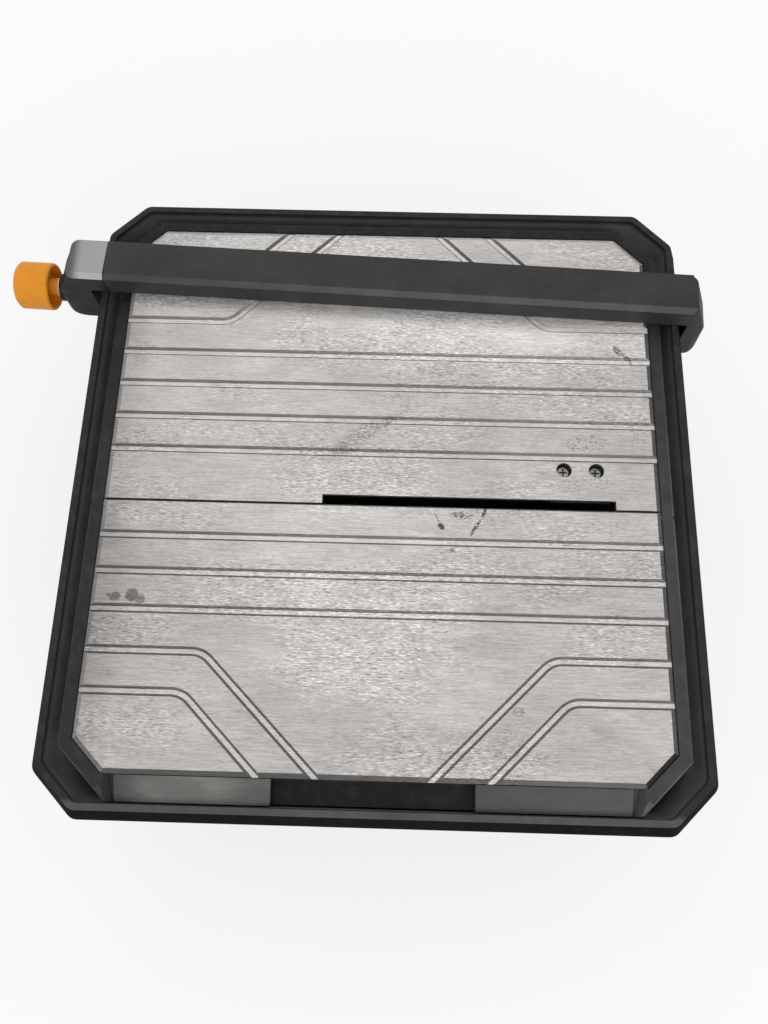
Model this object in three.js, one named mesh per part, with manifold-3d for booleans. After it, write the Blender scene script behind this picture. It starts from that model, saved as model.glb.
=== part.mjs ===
// A table-top wet tile saw without its blade: a deep tray, a split aluminium table of which
// the front half tilts, a direct-drive motor below, and a rip fence that hooks over the rim.
// Millimetres, +Z up, origin on the floor under the middle of the whole.

import * as THREE from "three";
import { mergeVertices } from "three/addons/utils/BufferGeometryUtils.js";
import Module from "manifold-3d";

const wasm = await Module();
wasm.setup();

// Overall places
const tableHeight = 165;
const middleX = 26.7;

// Clearances
const seat = 0.3;
const running = 0.25;
const overrun = 1;
const weld = 1e-4;

// Table plates
const tableWidth = 370;
const tableDepth = 386;
const tableCorner = 20;
const plateThickness = 6;
const edgeBevelWidth = 3;
const edgeBevelDrop = 1.2;
const seamY = -17.3;
const seamGap = 0.6;
const seamBevel = 1.2;
const slotMargin = 29.5;
const slotLength = 195;
const slotRight = tableWidth / 2 - slotMargin;
const slotLeft = slotRight - slotLength;
const slotWidth = 6.7;
const slotFront = seamY - seamGap / 2;
const slotBack = slotFront + slotWidth;
const slotLip = 2.5;
const slotRelief = 5;
const screwHoleRadius = 5.2;
const screwSpacing = 21.7;
const screwInset = 12;
const screwSetback = 21.2;
const ribWidth = 3;
const ribDepth = 6;

// Grooves
const grooveWidth = 6;
const grooveDepth = 1.8;
const grooveFlat = 2.8;
const grooveYs = [93, 68.5, 43.7, 19.4, -42, -66.4, -91.4];
const curveInsets = [75, 49.5];
const curveYs = curveInsets.map((inset) => tableDepth / 2 - inset);
const bendRadius = 16;
const curveReach = 36;
const curveStep = 36;
const frontShift = 1;

// Deck frame round the plates
const deckGap = 0.4;
const flangeWidth = 9.5;
const flangeDrop = 0.6;
const flangeRound = 4;
const shelfWidth = 12;
const shelfThickness = 4;
const skirtWall = 3;
const skirtDepth = 28;
const padReach = 34;
const recessHalf = 61.5;
const recessDepth = 12;
const apronInset = 29;
const apronHalf = tableWidth / 2 - apronInset;
const apronReach = 16;
const apronThickness = 1.6;
const apronDrop = 4;
const apronEdgeDrop = 2;
const apronFold = 9;

// Tray and base tub
const rimWidth = 4.2;
const rimDrop = 1.5;
const rimMargin = 21.7;
const rimCorner = 25.5;
const rimRound = 3;
const lipFlare = 5.5;
const lipDrop = 13;
const lipWall = 2.5;
const lipRoot = 3.2;
const tubWall = 2.2;
const tubDraft = 16;
const tubFloor = 3;
const footHeight = 7;
const footRadius = 12;
const footInset = 34;
const footStem = 3;
const postRadius = 8;
const postInsetX = 22;
const postInsetY = 23;
const postX = tableWidth / 2 - postInsetX;
const postY = tableDepth / 2 - postInsetY;
const postWeb = 4;
const wellRadius = 4.8;
const bossRadius = 6;
const bossLength = 17;
const baseScrewRadius = 2;
const baseScrewHead = 4;
const baseScrewHeadHeight = 3;
const baseScrewLength = 16;
const jointHeadHeight = 2;

// Drive line
const arborSetback = 115.5;
const arborX = slotRight - arborSetback;
const arborDrop = 55;
const bladeY = (slotBack + slotFront) / 2;
const bladeThickness = 2.2;
const shaftRadius = 7.5;
const shaftNose = 15.3;
const shaftFront = bladeY - shaftNose;
const flangeRadius = 22;
const innerFlangeThickness = 5;
const outerFlangeThickness = 4;
const nutAcross = 19;
const nutThickness = 6;
const bracketPlate = 6;
const bracketSetback = 22.5;
const bracketY = bladeY + bracketSetback;
const bracketFoot = 30;
const motorRadius = 43;
const motorWall = 2.5;
const rearBell = 10;
const bayInset = 18.5;
const bayRear = 47.7;
const bayBack = tableDepth / 2 - bayInset;
const motorLength = bayBack - bayRear - rearBell - bracketY - bracketPlate;
const bearingRadius = 17;
const bearingWidth = 10;
const bearingWall = 4;
const sealRadius = 18;
const statorEnds = 58;
const statorLength = motorLength - statorEnds;
const statorBore = 26;
const rotorRadius = 25;
const windingLength = 12;
const windingWall = 9;
const fanRadius = 33;
const fanThickness = 8;
const capRadius = 17;
const capLength = 60;
const capMargin = 5;

// Motor bay in the tub
const bayMargin = 13;
const bayLeft = arborX - motorRadius - bayMargin;
const bayRight = arborX + motorRadius + bayMargin;
const baySetback = 13.2;
const bayFront = bladeY + baySetback;
const bayWall = 2.5;
const baySealHeight = 4;
const ventWidth = 3;
const ventStep = 7;
const ventCount = 9;

// Riving knife bracket
const knifePlate = 3;
const knifeWidth = 40;
const knifeDepth = 22;

// Bevel hinge and stay
const hingeDrop = 3.2;
const hingePinRadius = 1.6;
const hingePinLength = 14;
const hingeRelief = 4.7;
const stayPivot = 125;
const stayLength = 99.4;
const stayRadius = 2.5;
const stayHalf = 45;
const stayDrop = 16;
const lugWidth = 8;
const beamWidth = 8;
const beamSetback = 1;
const beamDrop = 22;
const beamDepth = 6;

// Switch, cord gland and drain plug
const switchInset = 73;
const switchY = switchInset - tableDepth / 2;
const switchDrop = 62;
const switchWidth = 46;
const switchHeight = 34;
const switchBezel = 3;
const switchBody = 26;
const rockerWidth = 30;
const rockerHeight = 18;
const rockerProud = 4;
const rockerTip = 10;
const glandX = 60;
const glandDrop = 60;
const glandRadius = 11;
const glandBore = 4;
const glandLength = 10;
const glandLip = 2;
const padProud = 8;
const drainInset = 75;
const drainX = drainInset - tableWidth / 2;
const drainRise = 20;
const drainRadius = 9;
const drainCap = 14;
const drainLength = 16;
const drainEdge = 2;
const drainGroove = 2;
const sealHeight = 1.6;

// Fence
const fenceInset = 46.5;
const fenceY = tableDepth / 2 - fenceInset;
const fenceYaw = (-2.42 * Math.PI) / 180;
const barWidth = 30;
const barHeight = 18;
const barWall = 3;
const barBevelWidth = 3.5;
const barBevelDrop = 3;
const barLift = 0.3;
const legClear = 1.8;
const legWall = 13;
const legBottom = -35.5;
const legRound = 6;
const hookReach = 9.4;
const hookFlare = 1.8;
const hookTaper = 11.9;
const hookBottom = -38.5;
const hookToe = 9;
const hookRound = 8;
const hookBend = 9;
const hookSplay = 1.6;
const clampFlare = 13;
const clampBend = 14;
const capThickness = 3.4;
const bossProud = 4.5;
const clampBossRadius = 10;
const clampDrop = 22.5;
const knobRadius = 17.3;
const knobLength = 26.1;
const knobChamfer = 2.2;
const knobRecess = 6;
const neckLength = 5.9;
const neckRadius = 6.5;
const spindleRadius = 3.5;
const washerRadius = 8;
const washerThickness = 1;
const nutRadius = 6.5;
const nutLength = 12;
const padRadius = 5.5;
const padThickness = 5;
const padClear = 1;
const capRound = 6;
const clampRound = 2;

// Shared values
const halfX = tableWidth / 2;
const halfY = tableDepth / 2;
const rimHalfX = halfX + rimMargin;
const rimHalfY = halfY + rimMargin;
const floorZ = footHeight - tableHeight;
const floorTop = floorZ + tubFloor;
const shelfZ = -plateThickness - seat;
const deckUnder = shelfZ - shelfThickness;
const hingeY = seamY - seamGap / 2 - hingeDrop;
const roundSteps = 20;
const cornerSteps = 3;
const bendSteps = 6;

// Places along the fence, from its middle outwards
const legInner = rimHalfX + lipFlare + legClear;
const capOuter = legInner + legWall;
const clampOuter = capOuter + clampFlare;
const bossOuter = clampOuter + bossProud;
const barLeft = legWall - legInner;
const knobLeft = -bossOuter - neckLength - knobLength;
const hookOuter = legInner + legWall + hookFlare;
const hookTip = legInner - hookReach;
const barRight = hookOuter - hookTaper;

// Solid helpers

function solidOf(geometry) {
  const bare = new THREE.BufferGeometry();
  const flat = geometry.index ? geometry.toNonIndexed() : geometry;
  bare.setAttribute("position", flat.getAttribute("position"));
  const merged = mergeVertices(bare, weld);
  const triVerts = new Uint32Array(merged.index.array);
  const vertProperties = merged.attributes.position.array;
  const make = () => new wasm.Manifold(new wasm.Mesh({ numProp: 3, vertProperties, triVerts }));
  const made = make();
  if (made.volume() > 0) return made;
  for (let i = 0; i < triVerts.length; i += 3) {
    const first = triVerts[i];
    triVerts[i] = triVerts[i + 1];
    triVerts[i + 1] = first;
  }
  return make();
}

const join = (...solids) => solids.reduce((a, b) => a.add(b));
const cut = (solid, ...tools) => tools.reduce((a, b) => a.subtract(b), solid);

function block(x0, x1, y0, y1, z0, z1) {
  const g = new THREE.BoxGeometry(x1 - x0, y1 - y0, z1 - z0);
  return solidOf(g.translate((x0 + x1) / 2, (y0 + y1) / 2, (z0 + z1) / 2));
}

const toVectors = (points) => points.map(([u, v]) => new THREE.Vector2(u, v));

function extrude(points, length) {
  return new THREE.ExtrudeGeometry(new THREE.Shape(toVectors(points)), {
    depth: length,
    bevelEnabled: false,
    steps: 1,
  });
}

// An outline in X and Y, raised along Z.
const prismZ = (points, z0, z1) => solidOf(extrude(points, z1 - z0).translate(0, 0, z0));

// An outline in Y and Z, drawn out along X.
function prismX(points, x0, x1) {
  const turn = new THREE.Matrix4().makeBasis(
    new THREE.Vector3(0, 1, 0),
    new THREE.Vector3(0, 0, 1),
    new THREE.Vector3(1, 0, 0),
  );
  return solidOf(extrude(points, x1 - x0).applyMatrix4(turn).translate(x0, 0, 0));
}

// An outline in X and Z, drawn out along Y.
function prismY(points, y0, y1) {
  const turn = new THREE.Matrix4().makeBasis(
    new THREE.Vector3(1, 0, 0),
    new THREE.Vector3(0, 0, 1),
    new THREE.Vector3(0, -1, 0),
  );
  return solidOf(extrude(points, y1 - y0).applyMatrix4(turn).translate(0, y1, 0));
}

// A turned profile of [radius, height] points that closes on itself, about the given axis.
function turned(profile, axis, at, steps = roundSteps) {
  const closed = [...profile, profile[0]];
  const g = new THREE.LatheGeometry(toVectors(closed), steps);
  if (axis === "x") g.rotateZ(-Math.PI / 2);
  if (axis === "z") g.rotateX(Math.PI / 2);
  return solidOf(g.translate(...at));
}

// A rod along an axis between two places on it; at holds the other two coordinates.
function rod(axis, radius, from, to, at, steps = roundSteps) {
  const g = new THREE.CylinderGeometry(radius, radius, to - from, steps);
  const middle = (from + to) / 2;
  if (axis === "x") g.rotateZ(Math.PI / 2).translate(middle, at[0], at[1]);
  if (axis === "y") g.translate(at[0], middle, at[1]);
  if (axis === "z") g.rotateX(Math.PI / 2).translate(at[0], at[1], middle);
  return solidOf(g);
}

const ring = (axis, outer, inner, from, to, at) =>
  rod(axis, outer, from, to, at).subtract(rod(axis, inner, from - overrun, to + overrun, at));

// A closed outline whose corners are rounded where a point has a third value, its radius.
function rounded(points, steps = cornerSteps) {
  return points.flatMap(([x, y, radius], i) => {
    if (!radius) return [[x, y]];
    const [ax, ay] = points[(i + points.length - 1) % points.length];
    const [bx, by] = points[(i + 1) % points.length];
    const inAngle = Math.atan2(y - ay, x - ax);
    const change = Math.atan2(by - y, bx - x) - inAngle;
    const turn = Math.atan2(Math.sin(change), Math.cos(change));
    const side = Math.sign(turn) * radius;
    const back = radius * Math.tan(Math.abs(turn) / 2);
    const centreX = x - back * Math.cos(inAngle) - side * Math.sin(inAngle);
    const centreY = y - back * Math.sin(inAngle) + side * Math.cos(inAngle);
    return Array.from({ length: steps + 1 }, (_, k) => {
      const angle = inAngle + (turn * k) / steps;
      return [centreX + side * Math.sin(angle), centreY - side * Math.cos(angle)];
    });
  });
}

// An eight-sided outline with cut and rounded corners, grown evenly outwards.
function octagon(sideX, sideY, corner, grow = 0, round = 0) {
  const x = sideX + grow;
  const y = sideY + grow;
  const c = corner + grow * (2 - Math.SQRT2);
  return rounded([
    [x, y - c, round], [x - c, y, round], [c - x, y, round], [-x, y - c, round],
    [-x, c - y, round], [c - x, -y, round], [x - c, -y, round], [x, c - y, round],
  ]);
}

// A closed band whose section is a loop of [grow, height] points on the same eight-sided plan.
function bandOf(section, outlineAt) {
  const rings = section.map(([grow, z]) => outlineAt(grow).map(([x, y]) => [x, y, z]));
  const count = rings[0].length;
  const position = rings.flat(2);
  const index = [];
  rings.forEach((loop, i) => {
    const next = (i + 1) % rings.length;
    for (let k = 0; k < count; k += 1) {
      const a = i * count + k;
      const b = i * count + ((k + 1) % count);
      const c = next * count + k;
      const d = next * count + ((k + 1) % count);
      index.push(a, b, d, a, d, c);
    }
  });
  const g = new THREE.BufferGeometry();
  g.setAttribute("position", new THREE.Float32BufferAttribute(position, 3));
  g.setIndex(index);
  return solidOf(g);
}

const tableOutline = (grow) => octagon(halfX, halfY, tableCorner, grow);
const rimOutline = (grow) => octagon(rimHalfX, rimHalfY, rimCorner, grow, rimRound + grow / 4 + rimWidth);

function piece(name, solid, color, roughness, metalness) {
  const { vertProperties, triVerts } = solid.getMesh();
  const g = new THREE.BufferGeometry();
  g.setAttribute("position", new THREE.BufferAttribute(new Float32Array(vertProperties), 3));
  g.setIndex(new THREE.BufferAttribute(new Uint32Array(triVerts), 1));
  const mesh = new THREE.Mesh(g, new THREE.MeshStandardMaterial({ color, roughness, metalness }));
  mesh.name = name;
  return mesh;
}

const blackPlastic = (name, solid) => piece(name, solid, 0x2b2b2c, 0.55, 0);
const greyPlastic = (name, solid) => piece(name, solid, 0x434343, 0.5, 0);
const aluminium = (name, solid) => piece(name, solid, 0xbdb9b4, 0.42, 0.9);
const steel = (name, solid) => piece(name, solid, 0x9a9a98, 0.35, 1);
const rubber = (name, solid) => piece(name, solid, 0x1c1c1c, 0.85, 0);

// Tray and base tub

function wallAt(z) {
  const share = (-rimDrop - z) / (-rimDrop - floorZ);
  return tubWall - rimWidth - tubDraft * share;
}

function tubShell() {
  const top = -rimDrop;
  const walls = bandOf(
    [
      [-rimWidth, top],
      [-rimWidth - tubDraft, floorZ],
      [wallAt(floorZ), floorZ],
      [wallAt(top - lipRoot), top - lipRoot],
      [(lipFlare * lipRoot) / lipDrop - lipWall, top - lipRoot],
      [lipFlare - lipWall, top - lipDrop],
      [lipFlare, top - lipDrop],
      [0, top],
    ],
    rimOutline,
  );
  return join(walls, prismZ(rimOutline(wallAt(floorZ) - seat), floorZ, floorTop));
}

function bayWalls(top) {
  const outer = block(
    bayLeft - bayWall, bayRight + bayWall, bayFront - bayWall, bayBack + bayWall, floorZ + seat, top,
  );
  const inner = block(bayLeft, bayRight, bayFront, bayBack, floorTop, top + overrun);
  return outer.subtract(inner);
}

const posts = [-1, 1].flatMap((sx) => [-1, 1].map((sy) => [sx * postX, sy * postY]));
const feet = [-1, 1].flatMap((sx) => [-1, 1].map((sy) => {
  const x = sx * (rimHalfX + wallAt(floorZ) - footInset);
  const y = sy * (rimHalfY + wallAt(floorZ) - footInset);
  return [x, y];
}));
const cornerNames = ["front_left", "rear_left", "front_right", "rear_right"];
const postTop = deckUnder - bossLength - seat;
const bayTop = -plateThickness - ribDepth - baySealHeight;

function switchPad() {
  const half = switchWidth / 2 + switchBezel + seat;
  const high = switchHeight / 2 + switchBezel + seat;
  const out = -switchFaceX;
  return block(
    -out, -out + padProud + wallAt(-switchDrop + high) - wallAt(-switchDrop - high) + tubWall,
    switchY - half, switchY + half, -switchDrop - high, -switchDrop + high,
  );
}

const switchFaceX = -(rimHalfX + wallAt(-switchDrop) + padProud / 2);
const glandFaceY = rimHalfY + wallAt(-glandDrop) + padProud / 2;
const drainZ = floorTop + drainRise;
const drainFaceY = -(rimHalfY + wallAt(drainZ) + padProud / 2);

function baseTub() {
  const glandPad = glandRadius + padProud / 2;
  const drainPad = drainCap + padProud / 4;
  let tub = join(
    tubShell(),
    bayWalls(bayTop),
    switchPad(),
    block(glandX - glandPad, glandX + glandPad, glandFaceY - padProud, glandFaceY,
      -glandDrop - glandPad, -glandDrop + glandPad),
    block(drainX - drainPad, drainX + drainPad, drainFaceY, drainFaceY + padProud,
      drainZ - drainPad, drainZ + drainPad),
  );
  for (const at of posts) tub = tub.add(rod("z", postRadius, floorZ + seat, postTop, at));
  for (const at of posts) {
    tub = cut(
      tub,
      rod("z", wellRadius, floorZ - overrun, postTop - postWeb, at),
      rod("z", baseScrewRadius + running, postTop - postWeb - overrun, postTop + overrun, at),
    );
  }
  for (const at of feet) {
    tub = tub.subtract(rod("z", footStem + running, floorZ - overrun, floorTop + overrun, at));
  }
  const deep = 2 * padProud;
  const vents = Array.from({ length: ventCount }, (_, k) => {
    const y = bracketY + bracketPlate + ventStep * (k + 1);
    return block(bayLeft + 2 * bayMargin, bayRight - 2 * bayMargin, y, y + ventWidth,
      floorZ - overrun, floorTop + overrun);
  });
  return cut(
    tub,
    ...vents,
    block(switchFaceX - overrun, switchFaceX + deep, switchY - switchWidth / 2 + switchBezel,
      switchY + switchWidth / 2 - switchBezel, -switchDrop - switchHeight / 2 + switchBezel,
      -switchDrop + switchHeight / 2 - switchBezel),
    rod("y", glandRadius - padProud / 2 + running, glandFaceY - deep, glandFaceY + overrun,
      [glandX, -glandDrop]),
    rod("y", drainRadius + running, drainFaceY - overrun, drainFaceY + deep, [drainX, drainZ]),
    rod("y", sealRadius + seat, bayFront - bayWall - overrun, bayFront + overrun,
      [arborX, -arborDrop]),
  );
}

function footSolid([x, y]) {
  const top = floorZ - seat;
  const bottom = -tableHeight;
  const bevel = footHeight / 5;
  return turned(
    [
      [0, bottom], [footRadius - bevel, bottom], [footRadius, bottom + bevel], [footRadius, top],
      [footStem, top], [footStem, floorTop], [0, floorTop],
    ],
    "z",
    [x, y, 0],
  );
}

function baseScrew([x, y]) {
  const under = postTop - postWeb - seat;
  const head = rod("z", baseScrewHead, under - baseScrewHeadHeight, under, [x, y]);
  return head.add(rod("z", baseScrewRadius, under - seat, under + baseScrewLength, [x, y]));
}

// Deck frame and aprons

const frontEdge = -halfY - deckGap;
const apronFront = -halfY - apronReach;

function apronSection(lift, thickness) {
  const back = -apronEdgeDrop + lift;
  const front = -apronEdgeDrop - apronDrop + lift;
  return [
    [frontEdge, back], [frontEdge, back - thickness],
    [apronFront, front - thickness], [apronFront, front],
  ];
}

// The space above the sloping ledge at the front, with its ends folded down from the flange.
function apronSpace() {
  const lift = -apronThickness - seat;
  const slope = prismX(
    [
      [frontEdge + overrun, overrun],
      [frontEdge + overrun, -apronEdgeDrop + lift],
      [apronFront - overrun, -apronEdgeDrop - apronDrop + lift],
      [apronFront - overrun, overrun],
    ],
    -halfX, halfX,
  );
  const low = -apronEdgeDrop - apronDrop - apronThickness - overrun;
  const ends = prismY(
    [
      [-apronHalf - apronFold, overrun], [-apronHalf, low],
      [apronHalf, low], [apronHalf + apronFold, overrun],
    ],
    apronFront - 2 * overrun, frontEdge + overrun,
  );
  return slope.intersect(ends);
}

// The flange carries on past the table's cut corner to the ledge's front edge.
function deckCorner(side) {
  const outline = (grow) => {
    const front = apronFront + flangeWidth - grow;
    const slant = halfX + halfY - tableCorner + grow * Math.SQRT2;
    return [
      [side * apronHalf, -halfY], [side * apronHalf, front], [side * (slant + front), front],
      [side * (slant - halfY), -halfY],
    ];
  };
  return wasm.Manifold.hull([
    prismZ(outline(flangeWidth), deckUnder, -flangeDrop - flangeRound),
    prismZ(outline(flangeWidth - flangeRound), -flangeDrop - flangeRound, -flangeDrop),
  ]);
}

function deckFrame() {
  const out = flangeWidth;
  const band = bandOf(
    rounded([
      [deckGap, -flangeDrop],
      [deckGap, shelfZ],
      [-shelfWidth, shelfZ],
      [-shelfWidth, deckUnder],
      [out - skirtWall, deckUnder],
      [out - skirtWall, -skirtDepth],
      [out, -skirtDepth],
      [out, -flangeDrop, flangeRound],
    ]),
    tableOutline,
  );
  const ledge = prismX(
    [
      [-halfY - out + skirtWall, deckUnder],
      [-halfY - out + skirtWall, -apronEdgeDrop - apronDrop / 2 - apronThickness - seat],
      [apronFront, -apronEdgeDrop - apronDrop - apronThickness - seat],
      [apronFront, deckUnder],
    ],
    -apronHalf, apronHalf,
  );
  let frame = cut(join(band, ledge, deckCorner(-1), deckCorner(1)), apronSpace());
  const pads = posts.map(([x, y]) =>
    prismZ(
      [
        [x - Math.sign(x) * (padReach / 2), y - Math.sign(y) * (padReach / 2)],
        [x + Math.sign(x) * (padReach / 2), y - Math.sign(y) * (padReach / 2)],
        [x + Math.sign(x) * (padReach / 2), y],
        [x, y + Math.sign(y) * (padReach / 2)],
        [x - Math.sign(x) * (padReach / 2), y + Math.sign(y) * (padReach / 2)],
      ],
      deckUnder, shelfZ,
    ),
  );
  const bosses = posts.map((at) => rod("z", bossRadius, deckUnder - bossLength, deckUnder + overrun, at));
  const beamY = hingeY - stayPivot - beamWidth / 2 - beamSetback;
  const beam = block(
    -halfX - out + skirtWall, halfX + out - skirtWall, beamY - beamWidth / 2, beamY + beamWidth / 2,
    -beamDrop - beamDepth, -beamDrop,
  );
  const recessFloor = block(-recessHalf - skirtWall, recessHalf + skirtWall, apronFront + overrun,
    -halfY + edgeBevelWidth, -recessDepth - skirtWall, -recessDepth);
  frame = join(frame, ...pads, ...bosses, beam, recessFloor);
  const holes = posts.map((at) =>
    rod("z", baseScrewRadius + running, deckUnder - bossLength - overrun, deckUnder - bossLength
      + baseScrewLength, at));
  const pinHoles = [-1, 1].map((side) => {
    const ends = [side * (halfX - overrun), side * (halfX + out + overrun)].sort((a, b) => a - b);
    return rod("x", hingePinRadius + running, ...ends, [hingeY, -hingeDrop]);
  });
  const hingeRoom = rod("x", hingeRelief, -halfX - deckGap, halfX + deckGap, [hingeY, -hingeDrop]);
  const recess = block(-recessHalf, recessHalf, apronFront - overrun, -halfY + edgeBevelWidth,
    -recessDepth, overrun);
  return cut(frame, recess, hingeRoom, ...holes, ...pinHoles);
}

function apron(side) {
  const whole = prismX(apronSection(0, apronThickness), -halfX, halfX);
  const end = apronHalf - seat * 2;
  const slant = apronFold / 4;
  const outline = [
    [recessHalf + seat, -apronEdgeDrop - apronDrop - 2 * apronThickness],
    [end, -apronEdgeDrop - apronDrop - 2 * apronThickness],
    [end + slant, 0],
    [recessHalf + seat, 0],
  ].map(([x, z]) => [side * x, z]);
  return whole.intersect(prismY(outline, apronFront - overrun, frontEdge + overrun));
}

// Table plates

// A straight groove tool, wide at the top and flat below, lengthened at its ends to meet the next.
function grooveRun([ax, ay], [bx, by], before = 0, after = 0) {
  const length = Math.hypot(bx - ax, by - ay);
  const [ux, uy] = [(bx - ax) / length, (by - ay) / length];
  const half = grooveWidth / 2;
  const flat = grooveFlat / 2;
  const profile = [
    [-half, overrun], [-half, 0], [-flat, -grooveDepth], [flat, -grooveDepth], [half, 0], [half, overrun],
  ];
  const g = extrude(profile, length + before + after);
  const along = new THREE.Vector3(ux, uy, 0);
  const up = new THREE.Vector3(0, 0, 1);
  const side = new THREE.Vector3().crossVectors(up, along);
  g.applyMatrix4(new THREE.Matrix4().makeBasis(side, up, along));
  return solidOf(g.translate(ax - ux * before, ay - uy * before, 0));
}

// How far the runs on both sides of a path's point go on past it, to close the outside of the turn.
function mitreAt(path, k) {
  if (k === 0 || k === path.length - 1) return 0;
  const [before, after] = [k - 1, k].map((i) =>
    Math.atan2(path[i + 1][1] - path[i][1], path[i + 1][0] - path[i][0]));
  return (grooveWidth / 2) * Math.abs(Math.tan((after - before) / 2));
}

// The path of a corner groove: straight in from the side, round a bend, then slanting to an edge.
function bentPath(sideX, y, turnX, endY) {
  const toMiddle = -Math.sign(sideX);
  const toEdge = Math.sign(y);
  const back = bendRadius * Math.tan(Math.PI / 8);
  const start = turnX - toMiddle * back;
  const points = [[sideX, y]];
  for (let k = 0; k <= bendSteps; k += 1) {
    const angle = ((Math.PI / 4) * k) / bendSteps;
    points.push([
      start + toMiddle * bendRadius * Math.sin(angle),
      y + toEdge * bendRadius * (1 - Math.cos(angle)),
    ]);
  }
  const [lastX, lastY] = points[points.length - 1];
  const rise = Math.abs(endY - lastY);
  points.push([lastX + toMiddle * rise, endY]);
  return points;
}

function grooves() {
  const far = halfX + overrun;
  const tools = grooveYs.map((y) => grooveRun([-far, y], [far, y]));
  for (const sideX of [-1, 1]) {
    for (const sideY of [-1, 1]) {
      curveYs.forEach((y, i) => {
        const end = sideY * (halfY + overrun);
        const reach = curveReach + i * curveStep - (sideY > 0 ? 0 : frontShift);
        const turnX = sideX * (reach + (halfY - y));
        const path = bentPath(sideX * far, sideY * y, turnX, end);
        for (let k = 0; k + 1 < path.length; k += 1) {
          tools.push(grooveRun(path[k], path[k + 1], mitreAt(path, k), mitreAt(path, k + 1)));
        }
      });
    }
  }
  return join(...tools);
}

// The whole table top as one bevelled slab, before it is split.
function tableSlab() {
  const slab = prismZ(tableOutline(0), -plateThickness, -edgeBevelDrop);
  const outer = tableOutline(0);
  const inner = octagon(halfX, halfY, tableCorner, -edgeBevelWidth);
  const count = outer.length;
  const position = [
    ...outer.map(([x, y]) => [x, y, -edgeBevelDrop]),
    ...inner.map(([x, y]) => [x, y, 0]),
  ].flat();
  const index = [];
  for (let k = 0; k < count; k += 1) {
    const n = (k + 1) % count;
    index.push(k, n, count + n, k, count + n, count + k);
    if (k > 0 && n > 0) index.push(0, n, k, count, count + k, count + n);
  }
  const g = new THREE.BufferGeometry();
  g.setAttribute("position", new THREE.Float32BufferAttribute(position, 3));
  g.setIndex(index);
  return slab.add(solidOf(g));
}

function halfSlab(y0, y1) {
  const span = block(-halfX - overrun, halfX + overrun, y0, y1, -plateThickness - overrun, overrun);
  return tableSlab().intersect(span);
}

const slotCut = () =>
  block(slotLeft, slotRight, slotFront, slotBack, -plateThickness - overrun, overrun);

// The plate is thinner behind the slot, so that grit and the blade's flanges clear it.
const slotUndercut = () =>
  block(slotLeft, slotRight, slotFront, slotBack + slotRelief, -plateThickness - overrun, -slotLip);

const screwXs = [slotRight - screwInset - screwSpacing, slotRight - screwInset];
const screwY = slotBack + screwSetback;

function rearTablePlate(groove) {
  const inner = halfX - shelfWidth - 2 * ribWidth;
  const back = halfY - shelfWidth - 2 * ribWidth;
  const low = -plateThickness - ribDepth;
  const ribs = [
    block(padReach / 2 - postX + ribWidth, bayLeft - bayWall - 2 * ribWidth, back - ribWidth, back,
      low, -plateThickness),
    block(bayRight + bayWall + 2 * ribWidth, postX - padReach, back - ribWidth, back, low,
      -plateThickness),
    ...[-inner, -(inner + postX - padReach) / 2].map((x) =>
      block(x, x + ribWidth, slotBack + 2 * ribWidth, postY - padReach, low, -plateThickness)),
    block(inner - ribWidth, inner, slotBack + 2 * ribWidth, postY - padReach, low, -plateThickness),
    block(-inner, bayLeft - bayWall - 2 * ribWidth, slotBack + 2 * ribWidth, slotBack + 3 * ribWidth,
      low, -plateThickness),
  ];
  let plate = cut(halfSlab(seamY + seamGap / 2, halfY + overrun), groove, slotCut(), slotUndercut());
  plate = join(plate, ...ribs);
  for (const x of screwXs) {
    plate = plate.subtract(rod("z", screwHoleRadius, -plateThickness - overrun, overrun, [x, screwY]));
  }
  return plate;
}

function frontTablePlate(groove) {
  const inner = halfX - shelfWidth - 2 * ribWidth;
  const front = -halfY + shelfWidth + 2 * ribWidth;
  const back = hingeY - 3 * ribWidth;
  const low = -plateThickness - ribDepth;
  const nose = seamY - seamGap / 2;
  const ribs = [
    block(-inner, inner, back - ribWidth, back, low, -plateThickness),
    ...[-1, 1].flatMap((side) => [inner, (2 * inner) / 3].map((x) =>
      block(side * x - ribWidth / 2, side * x + ribWidth / 2, -postY + padReach, back, low,
        -plateThickness))),
    ...[-1, 1].map((side) => {
      const x = side * (stayHalf + stayRadius + 2 * seat + lugWidth / 2);
      const y = hingeY - stayPivot;
      return block(x - lugWidth / 2, x + lugWidth / 2, y - lugWidth, y + lugWidth,
        -stayDrop - 2 * stayRadius, -plateThickness);
    }),
    block(-postX + padReach, postX - padReach, front, front + ribWidth, low, -plateThickness),
  ];
  const bevel = prismX(
    [
      [nose - seamBevel, 0], [nose, -seamBevel], [nose + overrun, -seamBevel], [nose + overrun, overrun],
      [nose - seamBevel, overrun],
    ],
    -halfX - overrun, halfX + overrun,
  );
  let plate = cut(halfSlab(-halfY - overrun, nose), groove, bevel);
  plate = join(plate, ...ribs);
  const pinHoles = [-1, 1].map((side) => {
    const ends = [side * (halfX - hingePinLength / 2 - seat), side * (halfX + overrun)];
    ends.sort((a, b) => a - b);
    return rod("x", hingePinRadius + seat, ...ends, [hingeY, -hingeDrop], 12);
  });
  const stayHole = rod("x", stayRadius + running, -halfX / 2, halfX / 2,
    [hingeY - stayPivot, -stayDrop]);
  return cut(plate, ...pinHoles, stayHole);
}

function hingePin(side) {
  const ends = [side * (halfX - hingePinLength / 2), side * (halfX + hingePinLength / 2)];
  ends.sort((a, b) => a - b);
  return rod("x", hingePinRadius, ...ends, [hingeY, -hingeDrop], 12);
}

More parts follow.
